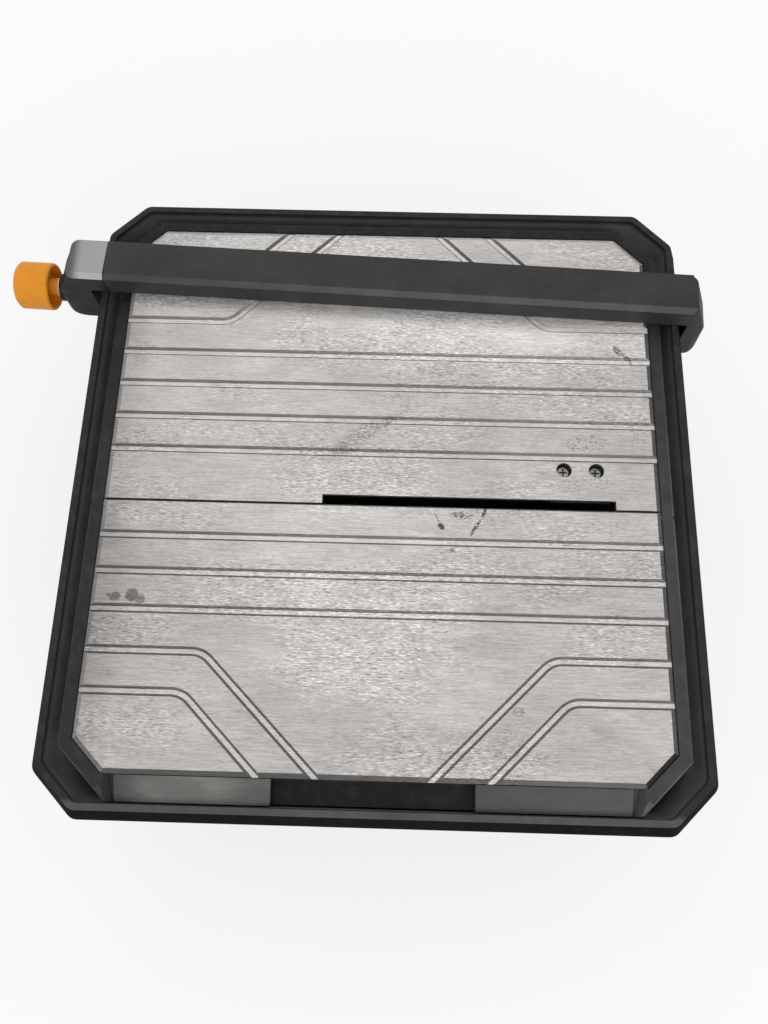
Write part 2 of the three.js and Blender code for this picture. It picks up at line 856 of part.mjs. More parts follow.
// A folding stay of round rod: two pivot ends, two legs and a crossbar.
function bevelStay() {
  const pivotY = hingeY - stayPivot;
  const at = [pivotY, -stayDrop];
  const outer = stayHalf + stayRadius + 2 * seat + lugWidth;
  return join(
    rod("x", stayRadius, -outer, -stayHalf + stayRadius, at),
    rod("x", stayRadius, stayHalf - stayRadius, outer, at),
    rod("y", stayRadius, pivotY - stayRadius, pivotY + stayLength + stayRadius, [-stayHalf, -stayDrop]),
    rod("y", stayRadius, pivotY - stayRadius, pivotY + stayLength + stayRadius, [stayHalf, -stayDrop]),
    rod("x", stayRadius, -stayHalf - stayRadius, stayHalf + stayRadius,
      [pivotY + stayLength, -stayDrop]),
  );
}

// Riving knife bracket below the rear plate

const knifeTop = -plateThickness - seat;

function knifeBracket() {
  const x0 = (screwXs[0] + screwXs[1] - knifeWidth) / 2;
  const y0 = slotBack + 2 * seat;
  const foot = block(x0, x0 + knifeWidth, y0, screwY + screwHoleRadius + knifePlate,
    knifeTop - knifePlate, knifeTop);
  const wall = block(x0, x0 + knifeWidth, y0, y0 + knifePlate, knifeTop - knifeDepth, knifeTop);
  let bracket = join(foot, wall);
  for (const x of screwXs) {
    bracket = bracket.subtract(
      rod("z", baseScrewRadius + running, knifeTop - knifePlate - overrun, knifeTop + overrun,
        [x, screwY]),
    );
  }
  return bracket;
}

// A pan-head screw with a cross recess, its head down on the bracket.
function bracketScrew(x) {
  const under = knifeTop + seat;
  const headTop = under + baseScrewHeadHeight / 2;
  const head = rod("z", screwHoleRadius - 3 * seat, under, headTop, [x, screwY]);
  const shank = rod("z", baseScrewRadius, knifeTop - 3 * knifePlate, under + seat, [x, screwY]);
  const armLong = screwHoleRadius / 2;
  const armWide = screwHoleRadius / 9;
  const deep = headTop - baseScrewHeadHeight / 4;
  return cut(
    join(head, shank),
    block(x - armLong, x + armLong, screwY - armWide, screwY + armWide, deep, headTop + overrun),
    block(x - armWide, x + armWide, screwY - armLong, screwY + armLong, deep, headTop + overrun),
  );
}

// Drive line below the rear plate

const arborAt = [arborX, -arborDrop];
const bracketBack = bracketY + bracketPlate;
const motorBack = bracketBack + motorLength;
const blankFace = bladeY + bladeThickness / 2;

function motorBracket() {
  const half = motorRadius + bracketPlate;
  const top = -plateThickness - ribDepth;
  const plate = block(arborX - half, arborX + half, bracketY, bracketBack, -arborDrop - half, top);
  const foot = block(arborX - half, arborX + half, bracketY, bracketBack + bracketFoot,
    -plateThickness - ribDepth, -plateThickness - seat);
  const cradle = rod("y", motorRadius + seat, bracketBack, bracketBack + bracketFoot + overrun, arborAt);
  const cup = rod("y", bearingRadius + bearingWall, bracketBack - overrun,
    bracketBack + bearingWidth, arborAt);
  const bore = rod("y", bearingRadius + seat, bracketBack - seat, bracketBack + bearingWidth + overrun,
    arborAt);
  const hole = rod("y", shaftRadius + 2 * running, bracketY - overrun, bracketBack + overrun, arborAt);
  return cut(join(plate, cut(foot, cradle), cup), bore, hole);
}

function motorCan() {
  const from = bracketBack + seat;
  return ring("y", motorRadius, motorRadius - motorWall, from, motorBack, arborAt);
}

function rearBellSolid() {
  const from = motorBack + seat;
  const body = rod("y", motorRadius, from, from + rearBell, arborAt);
  const spot = ring("y", bearingRadius + bearingWall, bearingRadius + seat,
    from - bearingWidth, from + overrun, arborAt);
  const vents = [];
  for (let k = 0; k < 6; k += 1) {
    const angle = (k * Math.PI) / 3;
    const r = (motorRadius + bearingRadius + bearingWall) / 2;
    vents.push(rod("y", bearingWall, from - overrun, from + rearBell + overrun,
      [arborX + r * Math.cos(angle), -arborDrop + r * Math.sin(angle)], 10));
  }
  const well = rod("y", shaftRadius, from - overrun, from + rearBell / 2, arborAt);
  return cut(join(body, spot), ...vents, well);
}

const statorFrom = bracketBack + bearingWidth + windingLength + 2 * overrun;
const statorTo = statorFrom + statorLength;
const statorOuter = motorRadius - motorWall - seat;

function winding(from, to) {
  return ring("y", statorOuter - windingWall / 3, statorOuter - windingWall, from, to, arborAt);
}

function fan() {
  const from = statorTo + windingLength + seat;
  const hub = rod("y", shaftRadius * 1.5, from, from + fanThickness, arborAt);
  const disc = rod("y", fanRadius, from, from + fanThickness / 4, arborAt);
  const blades = [];
  for (let k = 0; k < 8; k += 1) {
    const g = new THREE.BoxGeometry(fanRadius - shaftRadius, fanThickness, fanThickness / 4);
    g.translate((fanRadius + shaftRadius) / 2 - seat, from + fanThickness / 2, 0);
    g.rotateY((k * Math.PI) / 4).translate(arborX, 0, -arborDrop);
    blades.push(solidOf(g));
  }
  return cut(join(hub, disc, ...blades),
    rod("y", shaftRadius + seat, from - overrun, from + fanThickness + overrun, arborAt));
}

function arborShaft() {
  const rear = motorBack + seat + rearBell / 2 - seat;
  return join(
    rod("y", shaftRadius, shaftFront, motorBack - seat, arborAt),
    rod("y", shaftRadius - 2 * seat, motorBack - 2 * seat, rear, arborAt),
  );
}

const bearing = (from) =>
  ring("y", bearingRadius, shaftRadius + seat, from, from + bearingWidth - 2 * seat, arborAt);

const onShaft = (outer, from, to) => ring("y", outer, shaftRadius + seat, from, to, arborAt);

function arborNut() {
  const back = bladeY - bladeThickness / 2 - outerFlangeThickness - 2 * seat;
  const points = [];
  for (let k = 0; k < 6; k += 1) {
    const angle = (k * Math.PI) / 3;
    const r = nutAcross / Math.sqrt(3);
    points.push([arborX + r * Math.cos(angle), -arborDrop + r * Math.sin(angle)]);
  }
  const hex = prismY(points, back - nutThickness, back);
  const bore = rod("y", shaftRadius + seat, back - nutThickness - overrun, back + overrun, arborAt);
  return hex.subtract(bore);
}

function bayGasket() {
  const half = bayWall / 2 + seat;
  const outer = block(bayLeft - bayWall - half, bayRight + bayWall + half, bayFront - bayWall,
    bayBack + bayWall + half, bayTop + seat, -plateThickness - ribDepth - seat);
  const inner = block(bayLeft, bayRight, bayFront, bayBack, bayTop - overrun, overrun);
  return outer.subtract(inner);
}

const capacitorAt = [bayBack - capRadius - capMargin, floorTop + capRadius + seat];

function capacitor() {
  const x = (bayLeft + bayRight) / 2;
  return rod("x", capRadius, x - capLength / 2, x + capLength / 2, capacitorAt);
}

function capacitorStrap() {
  const x = (bayLeft + bayRight) / 2;
  const wide = capLength / 6;
  const [y, z] = capacitorAt;
  const wall = bayWall;
  const outer = capRadius + seat + wall;
  const band = ring("x", outer, capRadius + seat, x - wide, x + wide, capacitorAt);
  const upper = block(x - 2 * wide, x + 2 * wide, y - 2 * outer, y + 2 * outer, z, z + 2 * outer);
  const legs = [-1, 1].map((side) => {
    const ys = [y + side * (capRadius + seat), y + side * outer].sort((a, b) => a - b);
    return block(x - wide, x + wide, ys[0], ys[1], floorTop + seat, z + overrun);
  });
  return join(band.intersect(upper), ...legs);
}

// Electrics and drain on the tub walls

function switchBox() {
  const w = switchWidth / 2;
  const h = switchHeight / 2;
  const bezel = block(switchFaceX - seat - switchBezel, switchFaceX - seat, switchY - w, switchY + w,
    -switchDrop - h, -switchDrop + h);
  const inset = switchBezel + seat;
  const body = block(switchFaceX - seat - overrun, switchFaceX + switchBody, switchY - w + inset,
    switchY + w - inset, -switchDrop - h + inset, -switchDrop + h - inset);
  const well = block(switchFaceX - switchBezel - 2 * overrun, switchFaceX + switchBody / 2,
    switchY - rockerWidth / 2 - seat, switchY + rockerWidth / 2 + seat,
    -switchDrop - rockerHeight / 2 - seat, -switchDrop + rockerHeight / 2 + seat);
  return join(bezel, body).subtract(well);
}

const rockerPivotX = switchFaceX + rockerHeight / 4;
const rockerAngle = (rockerTip * Math.PI) / 180;

// The rocker's face is two flats that meet over its pivot, with one side pressed in.
function switchRocker() {
  const face = switchFaceX - switchBezel - rockerProud;
  const half = rockerWidth / 2 - rockerProud / 2;
  const sink = half * Math.tan(rockerAngle / 2);
  const back = rockerPivotX + rockerProud;
  const outline = [
    [face + sink, switchY - half], [face + 2 * sink / 3, switchY],
    [face - sink + sink / 2, switchY + half], [back, switchY + half / 2], [back, switchY - half / 2],
  ];
  return prismZ(outline, -switchDrop - rockerHeight / 2 + seat, -switchDrop + rockerHeight / 2 - seat);
}

function cordGland() {
  const neck = glandRadius - padProud / 2;
  const inside = glandFaceY - 2 * padProud;
  return turned(
    [
      [glandBore, inside], [neck, inside], [neck, glandFaceY + seat],
      [glandRadius, glandFaceY + seat], [glandRadius, glandFaceY + glandLength / 3],
      [glandBore + glandLip, glandFaceY + glandLength], [glandBore, glandFaceY + glandLength],
    ],
    "y",
    [glandX, 0, -glandDrop],
    16,
  );
}

function drainPlug() {
  const face = drainFaceY - seat;
  const from = drainFaceY + (drainLength - drainGroove) / 2;
  const to = from + drainGroove;
  const inner = drainFaceY + drainLength;
  const stem = drainRadius - seat;
  const root = drainRadius - drainGroove;
  return turned(
    [
      [0, face - drainCap / 2], [drainCap - drainEdge, face - drainCap / 2],
      [drainCap, face - drainCap / 3], [drainCap, face], [stem, face], [stem, from], [root, from],
      [root, to], [stem, to], [stem, inner], [0, inner],
    ],
    "y",
    [drainX, 0, drainZ],
  );
}

function drainSeal() {
  const middle = drainFaceY + drainLength / 2;
  return ring("y", drainRadius - seat / 3, drainRadius - drainGroove + seat / 3,
    middle - sealHeight / 2, middle + sealHeight / 2, [drainX, drainZ]);
}

// Fence, in its own frame: X along the bar, Z up from the table

const knobAt = [0, -clampDrop];

function fenceBar() {
  const half = barWidth / 2;
  const section = [
    [-half, barLift], [-half + barWall, barLift], [-half + barWall, barHeight - barWall - barBevelDrop],
    [-half + barWall + barBevelWidth / 2, barHeight - barWall], [half - barWall, barHeight - barWall],
    [half - barWall, barLift], [half, barLift], [half, barHeight],
    [-half + barBevelWidth, barHeight], [-half, barHeight - barBevelDrop],
  ];
  const bar = prismX(section, barLeft, legInner);
  const outline = rounded([
    [legInner - barWall, barLift], [legInner, barLift - overrun], [legInner, -clampDrop + hookToe / 2],
    [hookTip, -clampDrop + hookToe / 2], [hookTip, -clampDrop - hookToe / 2],
    [legInner - hookToe / 2, hookBottom], [hookOuter + hookSplay, hookBottom, hookBend],
    [hookOuter, -hookToe, hookToe], [barRight, barHeight, barBevelDrop], [legInner - barWall, barHeight],
  ], bendSteps);
  const planTo = (x) => rounded([
    [hookTip - overrun, -half], [x + seat, -half, hookRound], [x + seat, half, hookRound],
    [hookTip - overrun, half],
  ], bendSteps);
  const mould = wasm.Manifold.hull([
    prismZ(planTo(barRight), barHeight, barHeight + overrun),
    prismZ(planTo(hookOuter), -hookToe - seat, -hookToe),
    prismZ(planTo(hookOuter + hookSplay), hookBottom - overrun, hookBottom),
  ]);
  const end = prismY(outline, -half, half).intersect(mould);
  const shave = prismX(
    [
      [-half - overrun, barHeight - barBevelDrop], [-half, barHeight - barBevelDrop],
      [-half + barBevelWidth, barHeight], [-half + barBevelWidth, barHeight + overrun],
      [-half - overrun, barHeight + overrun],
    ],
    legInner - 2 * barWall, hookOuter + hookSplay + overrun,
  );
  const screwHole = rod("z", baseScrewRadius + running, barHeight - barWall - overrun,
    barHeight - barWall / 2, [barLeft - seat + 2 * barWall, 0]);
  return cut(join(bar, end), shave, screwHole);
}

function clampLeg() {
  const half = barWidth / 2;
  const inner = barLeft - seat;
  const shoulder = capThickness + seat;
  const top = barHeight - shoulder;
  const outline = rounded([
    [inner, barLift], [inner, top], [-capOuter + seat, top, clampRound],
    [-clampOuter, -clampDrop / 3, hookToe], [-clampOuter, legBottom, clampBend],
    [-legInner, legBottom, clampRound], [-legInner, barLift],
  ], bendSteps);
  const plan = rounded([
    [inner + overrun, -half], [-clampOuter, -half, legRound], [-clampOuter, half, legRound],
    [inner + overrun, half],
  ], bendSteps);
  const body = prismY(outline, -half, half).intersect(
    prismZ(plan, legBottom - overrun, barHeight + overrun),
  );
  const boss = rod("x", clampBossRadius, -bossOuter, -legInner - overrun, knobAt);
  const tongue = block(inner - overrun, inner + 4 * barWall, -half + barWall + seat,
    half - barWall - seat, barLift, barHeight - barWall - barBevelDrop - seat);
  const bore = rod("x", spindleRadius + running, -bossOuter - overrun, -legInner + overrun, knobAt);
  const nutSeat = rod("x", nutRadius + seat, -legInner - nutLength - seat, -legInner + overrun, knobAt, 6);
  const screwAt = [inner + 2 * barWall, 0];
  const screwHole = rod("z", baseScrewRadius + running, -overrun, barHeight, screwAt);
  const headHole = rod("z", baseScrewHead + running, -overrun, barLift + jointHeadHeight + seat,
    screwAt);
  return cut(join(body, boss, tongue), bore, nutSeat, screwHole, headHole);
}

function clampCap() {
  const half = barWidth / 2;
  const low = barHeight - capThickness;
  const section = [
    [-half, low], [half, low], [half, barHeight], [-half + barBevelWidth, barHeight],
    [-half, barHeight - barBevelDrop],
  ];
  const plate = prismX(section, -capOuter, barLeft - seat);
  const plan = rounded([
    [barLeft, half], [-capOuter, half, capRound], [-capOuter, -half, capRound / 2], [barLeft, -half],
  ], bendSteps);
  return plate.intersect(prismZ(plan, low - overrun, barHeight + overrun));
}

function clampNut() {
  return cut(
    rod("x", nutRadius, -legInner - nutLength, -legInner - seat, knobAt, 6),
    rod("x", spindleRadius + running, -legInner - nutLength - overrun, -legInner + overrun, knobAt),
  );
}

const padFace = -rimHalfX - wallAt(-clampDrop) - padClear;
const neckRight = -bossOuter - washerThickness - 2 * seat;

function clampPad() {
  const from = padFace - padThickness;
  const pad = rod("x", padRadius, from, padFace, knobAt);
  return pad.subtract(rod("x", spindleRadius + seat, from - overrun, from + padThickness / 2, knobAt));
}

const clampSpindle = () =>
  rod("x", spindleRadius, knobLeft + knobLength / 2, padFace - padThickness / 2 - seat, knobAt);

function clampKnob() {
  const bore = spindleRadius + running;
  const mid = knobLeft + knobLength / 2 - seat;
  const right = knobLeft + knobLength;
  return turned(
    [
      [0, knobLeft], [knobRadius - knobChamfer, knobLeft], [knobRadius, knobLeft + knobChamfer],
      [knobRadius, right - knobChamfer / 2], [knobRadius - knobChamfer / 2, right],
      [knobRadius - knobChamfer, right], [knobRadius - knobChamfer, right - knobRecess],
      [neckRadius, right - knobRecess], [neckRadius, neckRight], [bore, neckRight], [bore, mid],
      [0, mid],
    ],
    "x",
    [0, 0, -clampDrop],
    28,
  );
}

const clampWasher = () =>
  ring("x", washerRadius, spindleRadius + running, neckRight + seat, neckRight + seat
    + washerThickness, knobAt);

// A screw up through the clamp leg's tongue into the top wall of the bar.
function jointScrew() {
  const x = barLeft - seat + 2 * barWall;
  const under = barLift + jointHeadHeight;
  return join(
    rod("z", baseScrewHead, barLift, under, [x, 0]),
    rod("z", baseScrewRadius, under - seat, barHeight - barWall / 2 - seat, [x, 0]),
  );
}

// Assembly

const saw = new THREE.Group();
const deck = new THREE.Group();
deck.position.set(middleX, 0, tableHeight);
saw.add(deck);

const groove = grooves();
deck.add(
  blackPlastic("base_tub", baseTub()),
  greyPlastic("deck_frame", deckFrame()),
  piece("front_apron_left", apron(-1), 0x747370, 0.35, 0.6),
  piece("front_apron_right", apron(1), 0x747370, 0.35, 0.6),
  aluminium("rear_table_plate", rearTablePlate(groove)),
  aluminium("front_table_plate", frontTablePlate(groove)),
  steel("hinge_pin_left", hingePin(-1)),
  steel("hinge_pin_right", hingePin(1)),
  steel("bevel_stay", bevelStay()),
  steel("knife_bracket", knifeBracket()),
  steel("bracket_screw_left", bracketScrew(screwXs[0])),
  steel("bracket_screw_right", bracketScrew(screwXs[1])),
  aluminium("motor_bracket", motorBracket()),
  blackPlastic("motor_can", motorCan()),
  aluminium("motor_rear_bell", rearBellSolid()),
  steel("stator", ring("y", statorOuter, statorBore, statorFrom, statorTo, arborAt)),
  piece("winding_front", winding(statorFrom - windingLength, statorFrom - seat), 0xb87333, 0.4, 0.8),
  piece("winding_rear", winding(statorTo + seat, statorTo + windingLength), 0xb87333, 0.4, 0.8),
  steel("rotor_core", onShaft(rotorRadius, statorFrom, statorTo)),
  blackPlastic("cooling_fan", fan()),
  steel("front_bearing", bearing(bracketBack + seat)),
  steel("rear_bearing", bearing(motorBack + seat - bearingWidth)),
  steel("arbor_shaft", arborShaft()),
  steel("inner_flange", onShaft(flangeRadius, blankFace, blankFace + innerFlangeThickness)),
  steel("outer_flange", onShaft(flangeRadius, blankFace - bladeThickness - outerFlangeThickness,
    blankFace - bladeThickness)),
  steel("arbor_nut", arborNut()),
  rubber("shaft_seal", ring("y", sealRadius, shaftRadius + seat, bayFront - bayWall, bayFront - seat,
    arborAt)),
  rubber("bay_gasket", bayGasket()),
  piece("capacitor", capacitor(), 0xb9b9b4, 0.4, 0.2),
  steel("capacitor_strap", capacitorStrap()),
  blackPlastic("switch_box", switchBox()),
  piece("switch_rocker", switchRocker(), 0xc0261c, 0.4, 0),
  rubber("cord_gland", cordGland()),
  rubber("drain_plug", drainPlug()),
  rubber("drain_seal", drainSeal()),
);
feet.forEach((at, i) => deck.add(rubber("foot_" + cornerNames[i], footSolid(at))));
posts.forEach((at, i) => deck.add(steel("base_screw_" + cornerNames[i], baseScrew(at))));

const fence = new THREE.Group();
fence.position.set(0, fenceY, 0);
fence.rotation.z = fenceYaw;
deck.add(fence);
fence.add(
  greyPlastic("fence_bar", fenceBar()),
  greyPlastic("clamp_leg", clampLeg()),
  piece("clamp_cap", clampCap(), 0xa2a2a2, 0.4, 0.5),
  piece("clamp_nut", clampNut(), 0xb08d43, 0.35, 1),
  steel("joint_screw", jointScrew()),
  rubber("clamp_pad", clampPad()),
  steel("clamp_spindle", clampSpindle()),
  piece("clamp_knob", clampKnob(), 0xdd9430, 0.5, 0),
  steel("clamp_washer", clampWasher()),
);

export default saw;
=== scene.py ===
"""Looks for a table-top wet tile saw: worn machined aluminium, moulded black and grey plastic,
an orange clamp knob, and the small marks of use that such a table has. Metres throughout."""

import math

import bpy
from mathutils import Matrix, Vector


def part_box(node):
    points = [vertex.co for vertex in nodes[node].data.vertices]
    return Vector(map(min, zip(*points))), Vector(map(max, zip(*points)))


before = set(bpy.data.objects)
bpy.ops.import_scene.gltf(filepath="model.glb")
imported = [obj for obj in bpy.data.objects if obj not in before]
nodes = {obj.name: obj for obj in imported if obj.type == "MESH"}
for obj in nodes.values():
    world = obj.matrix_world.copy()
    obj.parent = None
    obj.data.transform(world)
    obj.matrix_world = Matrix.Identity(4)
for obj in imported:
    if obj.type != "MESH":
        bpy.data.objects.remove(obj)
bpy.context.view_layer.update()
MM = 0.001


# Places on the saw, read from the CAD solids

FRONT_RIM_WIDTH = 9 * MM
PLATE_OVERHANG = 1 * MM

rear_low, rear_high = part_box("rear_table_plate")
front_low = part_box("front_table_plate")[0]
TABLE_X = (rear_low.x + rear_high.x) / 2
TABLE_Y = (front_low.y + rear_high.y) / 2
TABLE_Z = rear_high.z
TABLE_LEFT = rear_low.x
RIM_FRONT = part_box("base_tub")[0].y + FRONT_RIM_WIDTH
CAP_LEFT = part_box("clamp_cap")[0].x
LEG_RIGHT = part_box("clamp_cap")[1].x
RECESS_BACK = front_low.y + PLATE_OVERHANG
RECESS_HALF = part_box("front_apron_right")[0].x - TABLE_X
SCREW_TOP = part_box("bracket_screw_left")[1].z
SCREW_WELLS = [
    ((low.x + high.x) / 2, (low.y + high.y) / 2)
    for low, high in map(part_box, ("bracket_screw_left", "bracket_screw_right"))
]


# Camera at the photograph's place

CAMERA_FROM_TABLE = Vector((9.84, -211.81, 564.04)) * MM
CAMERA_TILT = (("Y", 0.81), ("X", 18.56), ("Z", 1.71))
CAMERA_LENS = 31.64
CAMERA_SENSOR = 36.0
CAMERA_CLIP = 0.01


def add_camera():
    data = bpy.data.cameras.new("photo_view")
    data.lens = CAMERA_LENS
    data.sensor_width = CAMERA_SENSOR
    data.sensor_fit = "AUTO"
    data.clip_start = CAMERA_CLIP
    camera = bpy.data.objects.new("photo_view", data)
    turn = Matrix.Identity(4)
    for axis, degrees in CAMERA_TILT:
        turn = turn @ Matrix.Rotation(math.radians(degrees), 4, axis)
    centre = Vector((TABLE_X, TABLE_Y, TABLE_Z))
    camera.matrix_world = Matrix.Translation(centre + CAMERA_FROM_TABLE) @ turn
    bpy.context.scene.collection.objects.link(camera)
    bpy.context.scene.camera = camera


# Material graphs
#
# A ramp is (low, high) for a rise from 0 to 1, or (low, high, value at low, value at high).
# Ramps over a place are in metres, and ramps over a direction run from -1 to 1.

NOISE_MIDDLE = (0.3, 0.7)

PATTERNS = {
    # name: feature size along x, y and z in mm, detail, roughness, shift
    "table_streak": ((14, 0.55, 9), 2.0, 0.6, 0.0),
    "table_fleck": ((3.4, 0.75, 4), 1.0, 0.5, 3.0),
    "table_cloud": ((70, 38, 50), 3.0, 0.6, 7.0),
    "table_drift": ((30, 11, 20), 3.0, 0.6, 27.0),
    "table_stain": ((12, 7, 9), 4.0, 0.65, 11.0),
    "table_pit": ((2.2, 1.2, 2), 3.0, 0.6, 5.0),
    "table_dash": ((6.5, 0.42, 4), 1.0, 0.5, 21.0),
    "table_worked": ((95, 45, 60), 2.0, 0.5, 15.0),
    "plastic_blotch": ((26, 26, 26), 3.0, 0.6, 2.0),
    "plastic_scuff": ((22, 0.9, 6), 3.0, 0.7, 9.0),
    "plastic_patch": ((9, 9, 9), 4.0, 0.6, 6.0),
    "tub_drips": ((9, 9, 60), 3.0, 0.6, 31.0),
    "metal_tarnish": ((9, 9, 9), 4.0, 0.65, 4.0),
    "paint_rub": ((24, 9, 9), 4.0, 0.6, 3.0),
    "paint_speck": ((0.7, 0.7, 0.7), 1.0, 0.5, 8.0),
    "apron_cloud": ((30, 11, 9), 3.0, 0.6, 17.0),
    "knob_fine": ((0.6, 0.6, 0.6), 2.0, 0.5, 0.0),
    "knob_blotch": ((7, 7, 5), 3.0, 0.6, 2.0),
    "knob_speck": ((1.1, 1.1, 1.1), 2.0, 0.6, 6.0),
    "band_mottle": ((4, 4, 4), 3.0, 0.6, 0.0),
}


class Graph:
    """A material's node tree, with short calls for the nodes that every material here needs."""

    def __init__(self, name):
        self.material = bpy.data.materials.new(name)
        self.material.use_nodes = True
        self.tree = self.material.node_tree
        self.tree.nodes.clear()
        self.shader = self.node("ShaderNodeBsdfPrincipled")
        self.out = self.node("ShaderNodeOutputMaterial")
        self.link(self.shader.outputs[0], self.out.inputs["Surface"])
        self.place = self.node("ShaderNodeTexCoord").outputs["Object"]
        self.axes = self.split(self.place)

    def node(self, kind, **settings):
        made = self.tree.nodes.new(kind)
        for key, value in settings.items():
            setattr(made, key, value)
        return made

    def link(self, output, socket):
        self.tree.links.new(output, socket)

    def feed(self, value, socket):
        if isinstance(value, bpy.types.NodeSocket):
            self.link(value, socket)
        else:
            socket.default_value = value

    def set(self, name, value):
        self.feed(value, self.shader.inputs[name])

    def split(self, vector):
        parts = self.node("ShaderNodeSeparateXYZ")
        self.link(vector, parts.inputs[0])
        return parts.outputs

    def math(self, operation, *values, clamp=False):
        made = self.node("ShaderNodeMath", operation=operation, use_clamp=clamp)
        for value, socket in zip(values, made.inputs):
            self.feed(value, socket)
        return made.outputs[0]

    def times(self, first, *others):
        for other in others:
            first = self.math("MULTIPLY", first, other)
        return first

    def plus(self, first, *others):
        for other in others:
            first = self.math("ADD", first, other)
        return first

    def raised(self, share):
        """The factor that adds this share."""
        return self.math("ADD", 1.0, share)

    def lowered(self, share):
        """The factor that takes this share away."""
        return self.math("SUBTRACT", 1.0, share)

    def most(self, a, b):
        return self.math("MAXIMUM", a, b)

    def noise(self, sizes, detail=2.0, roughness=0.5, shift=0.0):
        """Noise whose features are about as large as sizes, one per axis, in mm."""
        mapping = self.node("ShaderNodeMapping")
        self.link(self.place, mapping.inputs["Vector"])
        mapping.inputs["Scale"].default_value = [1 / (s * MM) for s in sizes]
        mapping.inputs["Location"].default_value = (shift, shift / 2, shift / 3)
        made = self.node("ShaderNodeTexNoise")
        self.link(mapping.outputs[0], made.inputs["Vector"])
        made.inputs["Scale"].default_value = 1.0
        made.inputs["Detail"].default_value = detail
        made.inputs["Roughness"].default_value = roughness
        return made.outputs["Fac"]

    def pattern(self, name):
        return self.noise(*PATTERNS[name])

    def span(self, value, low, high, to_low=0.0, to_high=1.0):
        """Maps low..high smoothly to to_low..to_high and holds it beyond."""
        made = self.node("ShaderNodeMapRange", interpolation_type="SMOOTHSTEP", clamp=True)
        for name, item in (
            ("Value", value), ("From Min", low), ("From Max", high),
            ("To Min", to_low), ("To Max", to_high),
        ):
            self.feed(item, made.inputs[name])
        return made.outputs[0]

    def fall(self, value, low, high):
        return self.span(value, low, high, 1.0, 0.0)

    def band(self, value, rise, rise_end, fall, fall_end):
        """1 between rise_end and fall, and 0 before rise and past fall_end."""
        return self.times(self.span(value, rise, rise_end), self.fall(value, fall, fall_end))

    def vary(self, noise, low, high):
        """The noise stretched so that it runs from low to high."""
        return self.span(noise, *NOISE_MIDDLE, low, high)

    def mix(self, factor, a, b, blend="MIX"):
        made = self.node("ShaderNodeMix", data_type="RGBA", blend_type=blend)
        made.clamp_factor = True
        sockets = [s for s in made.inputs if s.enabled]
        for value, socket in zip((factor, a, b), sockets):
            if isinstance(value, (tuple, list)) and len(value) == 3:
                value = (*value, 1.0)
            self.feed(value, socket)
        return [s for s in made.outputs if s.enabled][0]

    def stained(self, colour, tint):
        return self.mix(1.0, colour, tint, "MULTIPLY")

    def scaled(self, colour, factor):
        """The colour times a factor that may vary over the surface."""
        made = self.node("ShaderNodeVectorMath", operation="SCALE")
        self.feed(colour, made.inputs[0])
        self.feed(factor, made.inputs["Scale"])
        return made.outputs[0]

    def bump(self, height, distance, strength=1.0):
        made = self.node("ShaderNodeBump")
        made.inputs["Strength"].default_value = strength
        made.inputs["Distance"].default_value = distance
        self.link(height, made.inputs["Height"])
        self.link(made.outputs[0], self.shader.inputs["Normal"])

    def normal(self):
        """The surface direction in the object's own axes, so that it turns with the piece."""
        return self.split(self.node("ShaderNodeTexCoord").outputs["Normal"])

    def outward(self, n):
        """How far the direction n points away from the table's middle, more so far from it."""
        x = self.math("SUBTRACT", self.axes[0], TABLE_X)
        return self.plus(self.times(n[0], x), self.times(n[1], self.axes[1]))

    def spot(self, x, y, long, wide, degrees=0.0, soft=0.5):
        """1 inside a slanted oval on the table top, falling to 0 past its edge."""
        turn = math.radians(degrees)
        dx = self.math("SUBTRACT", self.axes[0], x)
        dy = self.math("SUBTRACT", self.axes[1], y)
        along = self.plus(
            self.times(dx, math.cos(turn) / long), self.times(dy, math.sin(turn) / long)
        )
        across = self.plus(
            self.times(dx, -math.sin(turn) / wide), self.times(dy, math.cos(turn) / wide)
        )
        reach = self.plus(self.times(along, along), self.times(across, across))
        return self.fall(reach, 1.0 - soft, 1.0 + soft)

    def wells(self, radius, soft=0.5):
        """1 within the radius of either of the two screws in the table."""
        return self.most(*(self.spot(x, y, radius, radius, soft=soft) for x, y in SCREW_WELLS))


# Colours

ALUMINIUM = (0.485, 0.467, 0.452)
TRAY = (0.027, 0.027, 0.028)
DECK = (0.028, 0.028, 0.030)
FENCE = (0.041, 0.041, 0.043)
APRON = (0.112, 0.110, 0.104)
CAP = (0.34, 0.34, 0.335)
KNOB = (0.80, 0.30, 0.016)
KNOB_GRIME = (0.36, 0.13, 0.02)
ROCKER = (0.48, 0.03, 0.02)
COPPER = (0.60, 0.25, 0.11)
STEEL = (0.56, 0.56, 0.55)
DULL_STEEL = (0.33, 0.325, 0.32)
SOOTY_STEEL = (0.06, 0.06, 0.058)
SHEET_STEEL = (0.27, 0.26, 0.25)
CAST = (0.42, 0.42, 0.415)
RUBBER = (0.018, 0.018, 0.018)
CAN = (0.5, 0.5, 0.47)
BRASS = (0.58, 0.40, 0.15)
DUST = (0.32, 0.31, 0.29)
WARM_TINT = (1.0, 0.965, 0.91)
# Tint for dirt on the table and for painted shade in its screw wells.
GRIME_AND_SHADE_TINT = (0.14, 0.135, 0.13)


# The milled table

STREAK_TONE = (0.36, 0.64, 0.87, 1.12)
CLOUD_TONE = (0.93, 1.08)
DRIFT_TONE = (0.34, 0.66, 0.96, 1.05)
WORKED_SHARE = (0.42, 0.62, 0.25, 1.0)
LIGHT_FLECK = (0.57, 0.65, 0.0, 0.42)
DARK_FLECK = (0.33, 0.41, 0.42, 0.0)
DARK_DASH = (0.27, 0.36, -0.40, 0.0)
LIGHT_DASH = (0.64, 0.73, 0.0, 0.34)
STAIN_TONE = (0.56, 0.72, 1.0, 0.86)
LEFT_EDGE_TONE = (TABLE_LEFT + 2 * MM, TABLE_LEFT + 26 * MM, 0.80, 1.0)
